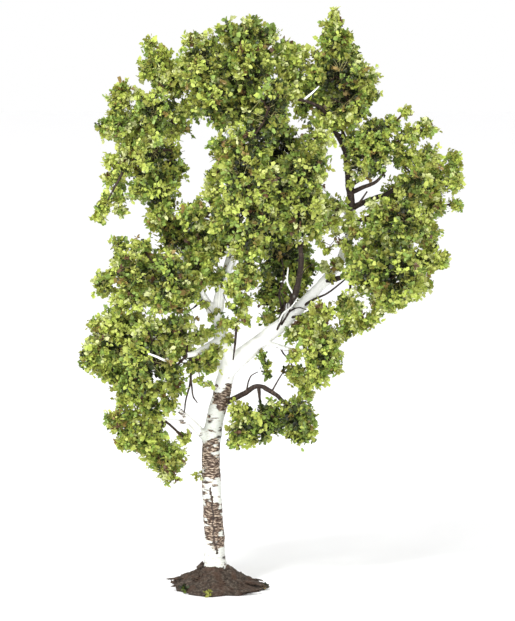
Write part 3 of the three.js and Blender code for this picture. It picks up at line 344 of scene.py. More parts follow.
# Thin twigs with white paint on them
WHITE_TWIGS = [
    (0.5, [(40.8, 0, 115.5), (38, -2.5, 119.4), (34.6, -4.5, 123), (31.6, -6, 126.4)]),
    (0.38, [(27.2, -7.8, 151.6), (29.4, -8.4, 153.4), (31.8, -7.8, 155.6)]),
    (0.4, [(4.9, 0, 103), (1.5, -2, 107.5), (-1.5, -3.5, 110.5)]),
    (0.45, [(6.4, 2, 111.5), (3.4, 0, 114.8), (0.6, -1, 120)]),
    (0.42, [(-2.6, 0.6, 88.6), (-5.4, 0, 93), (-5.6, -0.6, 97.5)]),
    (0.5, [(2.6, -1, 96), (5.4, -3, 99.8), (6.8, -3.4, 104)]),
    (0.4, [(24.4, -4.4, 91.5), (22.2, -6.4, 96), (22.4, -7.6, 100.5)]),
    (0.4, [(34, 0, 95.8), (37.4, -1.6, 99), (38.8, -2.4, 104.5)]),
    (0.38, [(19.4, -1.8, 81), (20.8, -4.4, 86), (23.6, -5, 88.4), (25.4, -5, 91)]),
    (0.36, [(41.2, -0.6, 111), (42.4, -2.6, 115), (44.6, -3, 118), (47, -3.4, 119.4)]),
    (0.4, [(0.9, -2, 86.6), (1.3, -3.6, 90.4), (1.4, -3.8, 95)]),
    (0.36, [(-4.4, -11, 95.2), (-9, -14, 102.5), (-12, -17, 106), (-16, -18.5, 105.8)]),
    (0.55, [(-13, -13, 75), (-14.6, -20, 73.6), (-17, -24.4, 75.2), (-19.6, -25, 76.2)]),
]


# Numbers, noise and curves

def unit(vectors):
    return vectors / np.maximum(np.linalg.norm(vectors, axis=-1, keepdims=True), 1e-9)


def random_directions(random, count):
    return unit(random.normal(size=(count, 3)))


def noise(points, scale, seed):
    """Smooth noise from 0 to 1, with lumps about as wide as the scale. Each use has a seed of its own."""
    table = np.random.default_rng(seed).random((NOISE_CELLS, NOISE_CELLS, NOISE_CELLS))
    place = np.asarray(points, float) / scale
    low = np.floor(place).astype(int)
    part = place - low
    part = part * part * (3 - 2 * part)
    total = np.zeros(place.shape[:-1])
    for corner in np.ndindex(2, 2, 2):
        weight = np.prod(np.where(corner, part, 1 - part), axis=-1)
        cell = (low + corner) % NOISE_CELLS
        total += weight * table[cell[..., 0], cell[..., 1], cell[..., 2]]
    return total


def waver(points, scale, seed, size):
    """Noise about 0, from minus to plus half the size."""
    return (noise(points, scale, seed) - 0.5) * size


def in_blocks(measure, points):
    """What a function gives for the points, worked out block by block."""
    starts = range(0, max(len(points), 1), BLOCK)
    return np.concatenate([measure(points[start:start + BLOCK]) for start in starts])


def distances(points, places):
    """How far each point is from each place."""
    return np.linalg.norm(points[:, None] - places[None], axis=2)


def turns(count):
    """Angles spaced evenly round a full turn."""
    return np.linspace(0, 2 * math.pi, count, endpoint=False)


def smooth_route(route, spacing=BARK_SPACING):
    """Evenly spaced points along a centripetal curve through the route, the source's own curve."""
    points = np.array(route, float)
    padded = np.vstack([2 * points[0] - points[1], points, 2 * points[-1] - points[-2]])
    share = np.linspace(0, 1, CURVE_STEPS, endpoint=False)[:, None]
    rows = []
    for i in range(len(points) - 1):
        p0, p1, p2, p3 = padded[i:i + 4]
        g0, g1, g2 = (np.linalg.norm(b - a) ** 0.5 for a, b in ((p0, p1), (p1, p2), (p2, p3)))
        t1 = ((p1 - p0) / g0 - (p2 - p0) / (g0 + g1) + (p2 - p1) / g1) * g1
        t2 = ((p2 - p1) / g1 - (p3 - p1) / (g1 + g2) + (p3 - p2) / g2) * g1
        cubic = (2 * (p1 - p2) + t1 + t2) * share ** 3
        rows.append(p1 + t1 * share + (3 * (p2 - p1) - 2 * t1 - t2) * share ** 2 + cubic)
    dense = np.vstack(rows + [points[-1:]])
    lengths = np.append(0, np.cumsum(np.linalg.norm(np.diff(dense, axis=0), axis=1)))
    at = np.linspace(0, lengths[-1], max(3, round(lengths[-1] / spacing) + 1))
    return np.stack([np.interp(at, lengths, dense[:, axis]) for axis in range(3)], axis=1)


def limb_radii(foot, tip, points):
    lengths = np.append(0, np.cumsum(np.linalg.norm(np.diff(points, axis=0), axis=1)))
    plain = foot + (tip - foot) * lengths / lengths[-1]
    return plain + foot * COLLAR_SWELL * np.exp(-lengths / (foot * COLLAR_LENGTH))


# Meshes from arrays

def add_object(name, data):
    thing = bpy.data.objects.new(name, data)
    bpy.context.scene.collection.objects.link(thing)
    return thing


def add_piece(name, vertices, faces, material, slot, smooth=False):
    """Makes a mesh from arrays in millimetres. It rides on the part's only body."""
    mesh = bpy.data.meshes.new(name)
    mesh.vertices.add(len(vertices))
    mesh.vertices.foreach_set("co", (np.asarray(vertices) * MM).astype(np.float32).ravel())
    mesh.loops.add(faces.size)
    mesh.loops.foreach_set("vertex_index", faces.astype(np.int32).ravel())
    mesh.polygons.add(len(faces))
    mesh.polygons.foreach_set("loop_start", np.arange(0, faces.size, faces.shape[1], dtype=np.int32))
    mesh.update(calc_edges=True)
    mesh.validate()
    mesh.polygons.foreach_set("use_smooth", np.full(len(mesh.polygons), smooth))
    mesh.materials.append(material)
    piece = add_object(name, mesh)
    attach(piece, BODY)
    return piece


def join_parts(parts):
    """Puts several vertex and face arrays into one."""
    vertices, faces, start = [], [], 0
    for part_vertices, part_faces in parts:
        vertices.append(part_vertices)
        faces.append(part_faces + start)
        start += len(part_vertices)
    return np.vstack(vertices), np.vstack(faces)


def ring_faces(rings, count):
    """Two triangles for each side between one ring of points and the next."""
    ring = np.arange(count)
    following = (ring + 1) % count
    faces = []
    for low in range(0, (rings - 1) * count, count):
        high = low + count
        faces.append(np.stack([low + ring, low + following, high + following], axis=1))
        faces.append(np.stack([low + ring, high + following, high + ring], axis=1))
    return np.vstack(faces)


def fan_faces(start, count, middle):
    """Triangles from each side of a ring to one middle point."""
    ring = start + np.arange(count)
    return np.stack([ring, np.roll(ring, -1), np.full(count, middle)], axis=1)


def raised(points, lowest=FLOOR_GAP):
    """The points as one list, none of them lower than the height given."""
    points[..., 2] = np.maximum(points[..., 2], lowest)
    return points.reshape(-1, 3)


def repeated(faces, count, step):
    """The same faces for each of many like pieces, whose points follow in steps."""
    return (faces[None] + (np.arange(count) * step)[:, None, None]).reshape(-1, 3)


def tube(points, radii, sides):
    """One closed tube whose section follows the curve without twisting."""
    tangents = unit(np.gradient(points, axis=0))
    side = unit(np.cross(tangents[0], (0, 1, 0.1)))
    angles = turns(sides)[:, None]
    rings = []
    for place, tangent, radius in zip(points, tangents, radii):
        side = unit(side - tangent * np.dot(side, tangent))
        other = np.cross(tangent, side)
        rings.append(place + radius * (np.cos(angles) * side + np.sin(angles) * other))
    end = len(points) * sides
    foot, tip = fan_faces(0, sides, end)[:, ::-1], fan_faces(end - sides, sides, end + 1)
    faces = np.vstack([foot, ring_faces(len(points), sides), tip])
    return np.vstack(rings + [points[:1], points[-1:]]), faces


def thin_tubes(paths, radii, sides):
    """Many small tubes at once, each along its own few points and closed at its tip."""
    count, steps = radii.shape
    along = unit(paths[:, -1] - paths[:, 0])
    helper = np.where(np.abs(along[:, 2:]) < 0.8, (0.0, 0.0, 1.0), (1.0, 0.0, 0.0))
    side = unit(np.cross(along, helper))
    other = np.cross(along, side)
    angles = turns(sides)
    ring = side[:, None] * np.cos(angles)[:, None] + other[:, None] * np.sin(angles)[:, None]
    vertices = paths[:, :, None] + radii[:, :, None, None] * ring[:, None]
    top = (steps - 1) * sides
    cap = [(top, top + corner, top + corner + 1) for corner in range(1, sides - 1)]
    faces = repeated(np.vstack([ring_faces(steps, sides), cap]), count, steps * sides)
    return raised(vertices), faces


FLAKE_OUTLINE = np.array([(0, 0), (0.42, 0.36), (0.32, 0.86), (-0.2, 1), (-0.42, 0.42)])
FLAKE_FACES = np.array([(0, 1, 2), (0, 2, 3), (0, 3, 4)])
FLAKE_UNEVEN = 0.12
FLAKE_FOLDS = (-0.1, 0.45)
FLAKE_CURLS = (-0.25, 0.25)
FLAKE_WIDTHS = (0.75, 1.05)


def leaf_flakes(roots, directions, sizes, random):
    """Each flake is an uneven five-cornered outline in three faces, folded a little along its rib."""
    count = len(roots)
    across = unit(np.cross(directions, random_directions(random, count)))
    upward = np.cross(directions, across)
    corners = len(FLAKE_OUTLINE)
    uneven = random.uniform(-FLAKE_UNEVEN, FLAKE_UNEVEN, (count, corners, 2))
    outline = FLAKE_OUTLINE + uneven * (np.arange(corners) > 0)[:, None]
    lift = random.uniform(*FLAKE_FOLDS, (count, 1)) * np.abs(outline[:, :, 0])
    lift = lift + random.uniform(*FLAKE_CURLS, (count, 1)) * outline[:, :, 1] ** 2
    width = random.uniform(*FLAKE_WIDTHS, (count, 1, 1))
    shape = (outline[:, :, :1] * width * across[:, None] + outline[:, :, 1:] * directions[:, None]
             + lift[:, :, None] * upward[:, None])
    return raised(roots[:, None] + sizes[:, None, None] * shape), repeated(FLAKE_FACES, count, corners)


# Growth

LIMBS = {**WHITE_LIMBS, **DARK_LIMBS}
LIMB_POINTS = {name: smooth_route(route) for name, (_, _, route) in LIMBS.items()}
LIMB_SAMPLES = np.vstack(list(LIMB_POINTS.values()))
LIMB_SAMPLE_RADII = np.concatenate([limb_radii(*LIMBS[name][:2], LIMB_POINTS[name]) for name in LIMBS])


def clear_of_limbs(points, margin):
    """True for points that no limb reaches."""
    def gaps(block):
        return (distances(block, LIMB_SAMPLES) - LIMB_SAMPLE_RADII).min(axis=1)

    return in_blocks(gaps, points) > margin


def spaced_lobes(arms):
    """The lobes of the arms, with further ones between two that lie far apart, as in the source."""
    lobes = []
    for arm in arms:
        lobes.append(arm[0])
        for start, end in zip(arm, arm[1:]):
            span = math.dist(start[:3], end[:3])
            count = max(1, round(span * LOBES_PER_RADIUS / max(start[3], end[3])))
            for k in range(1, count + 1):
                lobes.append(tuple(a + (b - a) * k / count for a, b in zip(start, end)))
    return np.array(lobes)


CLUMP_LOBES = {name: spaced_lobes(arms) for name, (_, arms) in CLUMPS.items()}


def outside(lobes, points):
    """How far points lie outside a clump's outline, or inside it where negative."""
    return (distances(points, lobes[:, :3]) - lobes[:, 3]).min(axis=1)


def in_own_space(name, points):
    own = outside(CLUMP_LOBES[name], points)
    rest = [outside(lobes, points) for other, lobes in CLUMP_LOBES.items() if other != name]
    return own < np.min(rest, axis=0)


def in_hole(name, points):
    """True within the small open places of a clump's larger lobes."""
    lobes = CLUMP_LOBES[name]
    broad = lobes[lobes[:, 3] > BROAD_LOBE]
    if not len(broad):
        return np.zeros(len(points), bool)
    return (noise(points, HOLE_SIZE, 41) < HOLE_SHARE) & (outside(broad, points) < 0)


def bent_path(start, end, random, steps=4, bend=0.12):
    """A slightly crooked run of points from one joint to the next."""
    length = np.linalg.norm(end - start, axis=-1, keepdims=True)
    share = np.linspace(0, 1, steps)
    path = start[..., None, :] + (end - start)[..., None, :] * share[:, None]
    sway = random.normal(size=path.shape) * (bend * length)[..., None, :]
    return path + sway * (share * (1 - share) * 2)[:, None]


def in_reach(points):
    """True for points inside the solids' own box."""
    low, high = np.array(cad_box) / MM
    return np.all((points > low) & (points < high), axis=-1)


class Foliage:
    """Collects the twigs, fibres and leaves of all clumps."""

    def __init__(self):
        self.twigs = []
        self.fibres = []
        self.leaves = []

    def grow(self, lobes, foot, random, keep, stem=STEM_RADIUS):
        """Grows one clump from its foot: a stem, twigs to seeded targets and a spray on each fibre."""
        order = np.argsort(np.linalg.norm(lobes[:, :3] - foot, axis=1))
        joints = foot[None]
        radii = np.array([stem])
        for place in lobes[order, :3]:
            joints, radii = self.join(joints, radii, place, stem * STEM_TAPER, random)

        counts = np.maximum(1, np.round(TWIGS_PER_AREA * lobes[:, 3] ** 2)).astype(int)
        owner = np.repeat(np.arange(len(lobes)), counts)
        reach = random.uniform(*TWIG_REACH, len(owner)) * lobes[owner, 3]
        targets = lobes[owner, :3] + random_directions(random, len(owner)) * reach[:, None]
        targets = targets[keep(targets)]
        for place in targets[np.argsort(np.linalg.norm(targets - foot, axis=1))]:
            joints, radii = self.join(joints, radii, place, min(stem, TWIG_RADIUS) * TWIG_TAPER, random)

        self.spread(lobes, joints, random, keep)

    def join(self, joints, radii, place, tip_radius, random):
        nearest = np.argmin(np.linalg.norm(joints - place, axis=1))
        path = bent_path(joints[nearest], place, random)
        widest = TWIG_RADIUS if tip_radius < TWIG_RADIUS else radii[nearest]
        foot_radius = max(min(radii[nearest], widest), tip_radius)
        self.twigs.append((path, np.linspace(foot_radius, tip_radius, len(path))))
        return np.vstack([joints, path[1:]]), np.append(radii, np.full(len(path) - 1, tip_radius))

    def spread(self, lobes, joints, random, keep):
        """Sprays over the lobes: a fibre from the nearest joint and leaf flakes along its outer part."""
        counts = np.maximum(3, np.round(SPRAYS_PER_AREA * lobes[:, 3] ** 2)).astype(int)
        owner = np.repeat(np.arange(len(lobes)), counts)
        out = random_directions(random, len(owner))
        radius = lobes[owner, 3]
        depth = radius * random.uniform(*SPRAY_DEPTHS, len(owner)) ** 0.5 - SPRAY_LENGTH * 0.5
        bases = lobes[owner, :3] + out * np.maximum(depth, 0.1 * radius)[:, None]
        length = SPRAY_LENGTH * random.uniform(*SPRAY_LENGTHS, len(owner)) * np.minimum(1, radius / 4 + 0.3)
        aim = unit(out + SPRAY_SCATTER * random_directions(random, len(owner)) - SPRAY_SAG)
        tips = bases + aim * length[:, None]
        kept = keep(tips) & keep(bases) & in_reach(tips)
        bases, tips, aim = bases[kept], tips[kept], aim[kept]
        nearest = in_blocks(lambda block: distances(block, joints).argmin(axis=1), bases)
        self.fibres.append(np.stack([joints[nearest], bases, tips], axis=1))

        count = len(bases) * LEAVES_PER_SPRAY
        along = random.uniform(0, 1, (len(bases), LEAVES_PER_SPRAY, 1))
        roots = bases[:, None] + (tips - bases)[:, None] * along
        spread = random_directions(random, count).reshape(roots.shape)
        directions = unit(LEAF_AIM * aim[:, None] + spread)
        roots = roots + directions * LEAF_GAP
        sizes = LEAF_LENGTH * random.lognormal(*LEAF_SIZES, count)
        roots, directions = roots.reshape(-1, 3), directions.reshape(-1, 3)
        self.leaves.append((roots, directions, sizes, tips, -outside(lobes, tips)))


# Materials

def new_material(name, roughness, specular=0.3):
    material = bpy.data.materials.new(name)
    material.use_nodes = True
    shader = material.node_tree.nodes["Principled BSDF"]
    shader.inputs["Roughness"].default_value = roughness
    shader.inputs["Specular IOR Level"].default_value = specular
    return material, material.node_tree, shader


def plain_material(name, colour, roughness, specular=0.3):
    material, _, shader = new_material(name, roughness, specular)
    shader.inputs["Base Color"].default_value = linear(colour)
    return material


def linear(colour):
    """An sRGB colour of 0 to 255 as the linear values that a shader takes."""
    values = np.array(colour, float) / 255
    return (*np.where(values > 0.04045, ((values + 0.055) / 1.055) ** 2.4, values / 12.92), 1.0)


def add_node(tree, kind, inputs=None, **settings):
    node = tree.nodes.new(kind)
    for key, value in settings.items():
        setattr(node, key, value)
    for key, value in (inputs or {}).items():
        if isinstance(value, bpy.types.NodeSocket):
            tree.links.new(value, node.inputs[key])
        else:
            node.inputs[key].default_value = value
    return node


def mapped(tree, scale):
    """The place on the piece, in millimetres, stretched by a scale along each axis."""
    place = add_node(tree, "ShaderNodeTexCoord").outputs["Object"]
    stretch = add_node(tree, "ShaderNodeMapping", {"Vector": place, "Scale": [s / MM for s in scale]})
    return stretch.outputs["Vector"]


def noise_node(tree, scale, detail=4.0, roughness=0.55):
    texture = add_node(tree, "ShaderNodeTexNoise", {"Vector": mapped(tree, scale), "Scale": 1.0,
                                                    "Detail": detail, "Roughness": roughness})
    return texture.outputs["Fac"]


def ramp(tree, value, stops):
    """Colours of 0 to 255 dealt out over a value. One number instead of a colour is a linear grey."""
    node = add_node(tree, "ShaderNodeValToRGB", {"Fac": value})
    elements = node.color_ramp.elements
    while len(elements) < len(stops):
        elements.new(0.5)
    for element, (position, colour) in zip(elements, stops):
        element.position = position
        element.color = linear(colour) if isinstance(colour, tuple) else (colour, colour, colour, 1.0)
    return node.outputs["Color"]


def mix(tree, share, first, second):
    node = add_node(tree, "ShaderNodeMix", {0: share}, data_type="RGBA")
    for socket, value in ((node.inputs[6], first), (node.inputs[7], second)):
        if isinstance(value, bpy.types.NodeSocket):
            tree.links.new(value, socket)
        else:
            socket.default_value = linear(value)
    return node.outputs[2]


def vertex_value(tree, name):
    return add_node(tree, "ShaderNodeAttribute", attribute_name=name).outputs["Fac"]


def dress(tree, shader, colour, height, strength, distance):
    """Gives a shader its colour and a bump."""
    tree.links.new(colour, shader.inputs["Base Color"])
    inputs = {"Height": height, "Strength": strength, "Distance": distance * MM}
    node = add_node(tree, "ShaderNodeBump", inputs)
    tree.links.new(node.outputs["Normal"], shader.inputs["Normal"])


def white_bark_material():
    """White paint over brown, worn through in streaks that run round the limb."""
    material, tree, shader = new_material("white_bark", 0.6)
    flecks = noise_node(tree, (0.7, 0.7, 3.6), detail=3.0, roughness=0.6)
    fresh = ramp(tree, flecks, [(0.3, (242, 243, 238)), (0.42, (251, 251, 248))])
    # Painted shade: the lower trunk's white drawn greyer, with darker flecks
    shade_grey_and_flecks = ramp(tree, flecks, [(0.32, (200, 203, 192)), (0.42, (214, 217, 210)), (0.56, (214, 217, 210)),
                               (0.66, (180, 172, 160))])
    paint = mix(tree, vertex_value(tree, "low"), fresh, shade_grey_and_flecks)
    grain = noise_node(tree, (0.75, 0.75, 3.4), roughness=0.6)
    worn = ramp(tree, grain, [(0.38, (30, 20, 15)), (0.46, (64, 49, 39)), (0.52, (100, 79, 63)),
                              (0.6, (206, 188, 167))])
    deep = ramp(tree, noise_node(tree, (0.4, 0.4, 0.7), detail=3.0), [(0.46, 0), (0.6, 0.6)])
    worn = mix(tree, deep, worn, (62, 45, 37))
    streaks = noise_node(tree, (0.45, 0.45, 2.4), detail=5.0, roughness=0.65)
    wear = add_node(tree, "ShaderNodeMath", {0: vertex_value(tree, "wear"), 1: streaks}, operation="ADD")
    share = ramp(tree, wear.outputs[0], [(0.9, 0), (0.98, 1)])
    colour = mix(tree, vertex_value(tree, "bare"), mix(tree, share, paint, worn), dark_colour(tree, grain))
    dress(tree, shader, colour, grain, 0.35, 0.1)
    return material


def dark_colour(tree, grain):
    return ramp(tree, grain, [(0.3, (32, 25, 22)), (0.55, (58, 46, 39)), (0.8, (104, 88, 76))])


def dark_bark_material():
    material, tree, shader = new_material("dark_bark", 0.7)
    grain = noise_node(tree, (1.6, 1.6, 0.9), detail=5.0)
    dress(tree, shader, dark_colour(tree, grain), grain, 0.5, 0.15)
    return material


def earth_material():
    material, tree, shader = new_material("earth", 0.95)
    grain = noise_node(tree, (1.1, 1.1, 1.1), detail=8.0, roughness=0.7)
    colour = ramp(tree, grain, [(0.36, (38, 31, 26)), (0.5, (64, 55, 47)), (0.66, (104, 93, 83))])
    warm = ramp(tree, noise_node(tree, (0.3, 0.3, 0.3), detail=3.0), [(0.45, 0), (0.62, 0.6)])
    dress(tree, shader, mix(tree, warm, colour, (74, 54, 42)), grain, 0.8, 0.35)
    return material


# Leaf tints from dark to light, with the share of each, and the few ochre and rust flakes. The darkest two,
# near black, are painted shade, given to the sprays lowest in tone.
LEAF_TINTS = {
    "leaf_deep_shade": ((23, 31, 4), 0.11),
    "leaf_shade": ((43, 56, 14), 0.13),
    "leaf_moss": ((92, 110, 40), 0.14),
    "leaf_olive": ((131, 134, 53), 0.14),
    "leaf_green": ((130, 154, 68), 0.14),
    "leaf_meadow": ((165, 175, 79), 0.13),
    "leaf_spring": ((176, 191, 85), 0.1),
    "leaf_lime": ((180, 188, 95), 0.07),
    "leaf_pale": ((194, 200, 138), 0.04),
}
DRY_TINTS = {"leaf_ochre": ((136, 115, 60), 0.022), "leaf_rust": ((94, 68, 45), 0.014)}
# What the tone comes from: noises with size, scale and seed, chance, and each millimetre of depth, which
# gives leaves deep in a clump darker tints as painted shade
TONE_NOISES = [(0.3, 9, 51), (0.38, 2.2, 52)]
TONE_CHANCE = 0.5
DEPTH_SHADE = 0.16
# Places where the leaves are lighter or darker than elsewhere: middle, radius and by how much. In the crown
# the darker places are painted shade in hollows and shadowed parts, and the lighter ones are painted light;
# the places on the mound mute the sprigs' own colour.
LIGHT_SHADE_AND_TINT_PLACES = [
    ((22, 12, 97), 15, -0.18), ((18, -4, 53), 16, -0.12), ((-23, -14, 68), 10, -0.16),
    ((30, -8, 72), 12, 0.16), ((55, -6, 110), 25, 0.03), ((-20, -8, 46), 14, 0.03),
    ((11, -24, 122), 15, 0.1), ((-16, -14, 98), 13, 0.1), ((28, -12, 124), 12, 0.1),
    ((-17, -10, 132), 14, 0.06), ((-9, -9, 1.5), 4, -0.36), ((15, -3.4, 1), 4, -0.4),
    ((-1.8, -14.4, 1), 3, -0.2), ((-4, -5, 80), 9, 0.14), ((-29, -6, 80), 7, 0.14),
    ((3, -7, 166), 8, -0.16), ((20, 1, 166), 9, 0.16), ((-20, 0, 158), 8, 0.16), ((0, -8, 148), 8, -0.16),
    ((11, -21, 147), 6, 0.14), ((41, 0, 143), 8, -0.12), ((70, 1, 124), 8, 0.14), ((57, -14, 95), 8, 0.12),
    ((-11, -8, 107), 7, -0.28), ((-19, -17, 70), 6, -0.14), ((15, -28, 113), 8, -0.3),
    ((-12, -8, 124), 7, -0.26), ((33, -12, 89), 5, -0.24), ((51, -6, 130), 6, -0.26),
    ((19, -26, 144), 7, -0.28), ((-22, -5, 154), 6, 0.2), ((54, -13, 109.5), 5, -0.3),
]


# Pieces

# Dark limbs whose feet are painted over with the bough, and over how many steps of their routes
PAINTED_FEET = ["right_outer_limb", "inner_limb"]
PAINTED_STEPS = 6
# How much thicker than the limb the paint is there, at the first and at the last step
PAINT_THICKNESS = (0.5, 0.02)
# Waves of the bark's relief: stretch along the height, scale, seed and size
BARK_RELIEF = [(1, 3.2, 11, 0.35), (2.2, 1.6, 12, 0.16), (1, 0.6, 13, 0.06)]
WORN_DEPTH = 0.1


def bark_parts():
    parts = []
    for foot, tip, route in WHITE_LIMBS.values():
        points = smooth_route(route)
        parts.append(tube(points, limb_radii(foot, tip, points), BARK_SIDES))
    for name in PAINTED_FEET:
        foot, tip, route = DARK_LIMBS[name]
        points = smooth_route(route, DARK_SPACING)[:PAINTED_STEPS]
        radii = limb_radii(foot, tip, points) + np.linspace(*PAINT_THICKNESS, len(points))
        parts.append(tube(points, radii, PAINTED_SIDES))
    return join_parts(parts)


def build_bark():
    """Trunk and boughs joined into one skin, with wear and relief worked into its vertices."""
    bark = add_piece("bark", *bark_parts(), white_bark_material(), "white_bark", smooth=True)
    remesh = bark.modifiers.new("Skin", "REMESH")
    remesh.mode = "VOXEL"
    remesh.voxel_size = BARK_CELL * MM
    soften = bark.modifiers.new("Soften", "SMOOTH")
    soften.factor = 0.5
    soften.iterations = 4
    apply_modifiers(bark)

    mesh = bark.data
    places, normals = mesh_arrays(mesh)
    relief = sum(waver(places * (1, 1, stretch), *waves) for stretch, *waves in BARK_RELIEF)
    wear = bark_wear(places)
    relief -= WORN_DEPTH * wear * noise(places * (1, 1, 2.2), 0.9, 14)
    bare = bark_bareness(places)
    relief += BARE_SWELL * bare
    bare = np.maximum(bare, bark_specks(places))
    places = raised(places + normals * relief[:, None], BARK_FOOT)
    mesh.vertices.foreach_set("co", (places * MM).astype(np.float32).ravel())
    # Painted shade: 0 above the lower trunk, rising to 1 lower down, where its white turns greyer
    low = np.clip((LOW_TRUNK_TOP - places[:, 2]) / SHADE_GREY_RUN, 0, 1) * near_trunk(places)
    for name, values in (("wear", wear), ("bare", bare), ("low", low)):
        attribute = mesh.attributes.new(name, "FLOAT", "POINT")
        attribute.data.foreach_set("value", values.astype(np.float32))
    mesh.polygons.foreach_set("use_smooth", np.full(len(mesh.polygons), True))
    mesh.update()
    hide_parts(*WHITE_LIMBS)


# Worn bands of the trunk: height of the middle, half height, angle of the middle and strength
WORN_BANDS = [(58.8, 6.4, 0.55, 1.15), (40.4, 8.8, -0.2, 1.18), (21.4, 8.4, 0.2, 1.28),
              (15.6, 3.6, 0.8, 1.1), (52, 6.5, 2.9, 1.1), (31, 8.5, -2.7, 1.15),
              (12.5, 5.5, 3.1, 1.1), (62, 4.5, -2.2, 1)]
BAND_TURN = 1.5 / 0.7
BAND_REACH = 1.4
# Worn patches: where noise lies above a level, how steeply they start, a little more of them behind
PATCHES_ABOVE = 0.62
PATCH_STEEPNESS = 4
PATCHES_BEHIND = 0.08
BEHIND_RUN = 6.0
TRUNK_PATCHES = 0.3
BOUGH_PATCHES = 0.75
WEAR = 0.58
# The trunk's lower part, whose white is drawn greyer as painted shade
LOW_TRUNK_TOP = 68.0
SHADE_GREY_RUN = 12.0
TRUNK_REACH = 4.4
# A thin dark crack up the front of the trunk, and dark specks, as places across and heights
CRACK = [(-1.6, 31.8), (-0.8, 28), (-0.4, 14.5), (0.9, 11.2)]
CRACK_WIDTH = 0.32
SPECKS = [(3, 27.2), (3.3, 24), (3, 17.6), (3, 9.8), (1.6, 49.6), (1.2, 47.6), (-2.8, 33.5),
          (2.4, 36), (-1.6, 52.4)]
SPECK_SIZE = (0.6, 0.4)
SPECK_CORE = 1.6
SPECKS_WITHIN = 6


def trunk_centre(places):
    """The middle of the trunk at each place's height."""
    trunk = smooth_route(WHITE_LIMBS["trunk"][2])
    return np.stack([np.interp(places[:, 2], trunk[:, 2], trunk[:, axis]) for axis in (0, 1)], axis=1)


def near_trunk(places):
    return np.hypot(*(places[:, :2] - trunk_centre(places)).T) < TRUNK_REACH


def on_crack(places):
    """True on the thin crooked line of the crack, seen from the front."""
    across, heights = zip(*CRACK[::-1])
    crack = np.interp(places[:, 2], heights, across)
    line = np.abs(places[:, 0] - crack - waver(places * (0.1, 0.1, 1), 1.6, 24, 0.7))
    return (line < CRACK_WIDTH) & (places[:, 2] > heights[0]) & (places[:, 2] < heights[-1])


def bark_wear(places):
    """How far the paint is worn, from 0 to 1: in bands on the trunk and in patches on the boughs."""
    centre = trunk_centre(places)
    on_trunk = near_trunk(places) & (places[:, 2] < LOW_TRUNK_TOP)
    turn = np.arctan2(places[:, 0] - centre[:, 0], centre[:, 1] - places[:, 1])
    ragged = waver(places * (0.7, 0.7, 1.3), 1.5, 21, 1.2) + waver(places * (0.4, 0.4, 2), 0.8, 27, 0.7)
    bands = np.zeros(len(places))
    for height, half, middle, strength in WORN_BANDS:
        up = np.abs(places[:, 2] - height) / half
        round_way = np.abs(np.angle(np.exp(1j * (turn - middle)))) / BAND_TURN
        bands = np.maximum(bands, strength * np.clip(BAND_REACH - np.hypot(up, round_way) + ragged, 0, 1))
    behind = PATCHES_BEHIND * np.clip(places[:, 1] / BEHIND_RUN, 0, 1)
    patches = (noise(places, 5.0, 22) - PATCHES_ABOVE + behind) * PATCH_STEEPNESS
    patches = np.clip(patches + waver(places * (1, 1, 1.6), 1.8, 23, 1.2), 0, 1)
    wear = WEAR * np.where(on_trunk, np.maximum(bands, TRUNK_PATCHES * patches), BOUGH_PATCHES * patches)
    front = on_trunk & (places[:, 1] < centre[:, 1])
    return np.where(front & on_crack(places), 1.0, wear)


def bark_specks(places):
    """1 in the crack and in the dark specks on the front of the trunk."""
    front = (places[:, 1] < trunk_centre(places)[:, 1]) & (np.abs(places[:, 0]) < SPECKS_WITHIN)
    dark = np.where(on_crack(places), 1.0, 0.0)
    for x, z in SPECKS:
        away = np.hypot((places[:, 0] - x) / SPECK_SIZE[0], (places[:, 2] - z) / SPECK_SIZE[1])
        dark = np.maximum(dark, np.clip(SPECK_CORE - away + waver(places, 0.5, 26, 1), 0, 1))
    return dark * front


# Limbs that are left unpainted from a height upward, with the half width of the ragged edge there
BARE_FROM = {"right_riser": (116.5, 2.5), "left_bough": (138, 3), "centre_right_limb": (87.5, 2)}
# How far from the limb's middle it counts, and how much thicker rough bare wood is than painted
BARE_REACH = 2
BARE_SWELL = 0.28


def bark_bareness(places):
    """1 where a limb's upper end has no white paint, with a ragged edge, and 0 elsewhere."""
    bare = np.zeros(len(places))
    for name, (height, edge) in BARE_FROM.items():
        away = in_blocks(lambda block: distances(block, LIMB_POINTS[name]).min(axis=1), places)
        ragged = (places[:, 2] - height) / edge + waver(places * (1, 1, 0.5), 0.9, 25, 3)
        bare = np.maximum(bare, (away < BARE_REACH) * np.clip(ragged, 0, 1))
    return bare


def apply_modifiers(piece):
    """Puts the modifiers' result into the piece's own mesh."""
    evaluated = piece.evaluated_get(bpy.context.evaluated_depsgraph_get())
    mesh = bpy.data.meshes.new_from_object(evaluated)
    piece.modifiers.clear()
    piece.data = mesh


def mesh_arrays(mesh):
    """The mesh's points in millimetres and their normals."""
    places = np.empty(len(mesh.vertices) * 3, np.float32)
    normals = np.empty(len(mesh.vertices) * 3, np.float32)
    mesh.vertices.foreach_get("co", places)
    mesh.vertices.foreach_get("normal", normals)
    return places.reshape(-1, 3).astype(float) / MM, normals.reshape(-1, 3).astype(float)


# Lumps of the dark limbs: stretch along the height, scale, seed and size
DARK_LUMPS = (0.6, 1.1, 31, 0.35)
# Bare twigs: the tip's radius as a share of the foot's, and the scale, seed and size of their lumps
DARK_TWIG = (0.45, 1.4, 32, 0.25)
WHITE_TWIG = (0.5, 1.2, 33, 0.1)


def rough_tube(points, radii, sides, stretch, *lumps):
    """A tube with an uneven surface."""
    vertices, faces = tube(points, radii, sides)
    return vertices + waver(vertices * (1, 1, stretch), *lumps)[:, None], faces


def bare_twig(foot, route, tip_share, *lumps):
    points = smooth_route(route, TWIG_SPACING)
    return rough_tube(points, np.linspace(foot, foot * tip_share, len(points)), TWIG_SIDES, 1, *lumps)


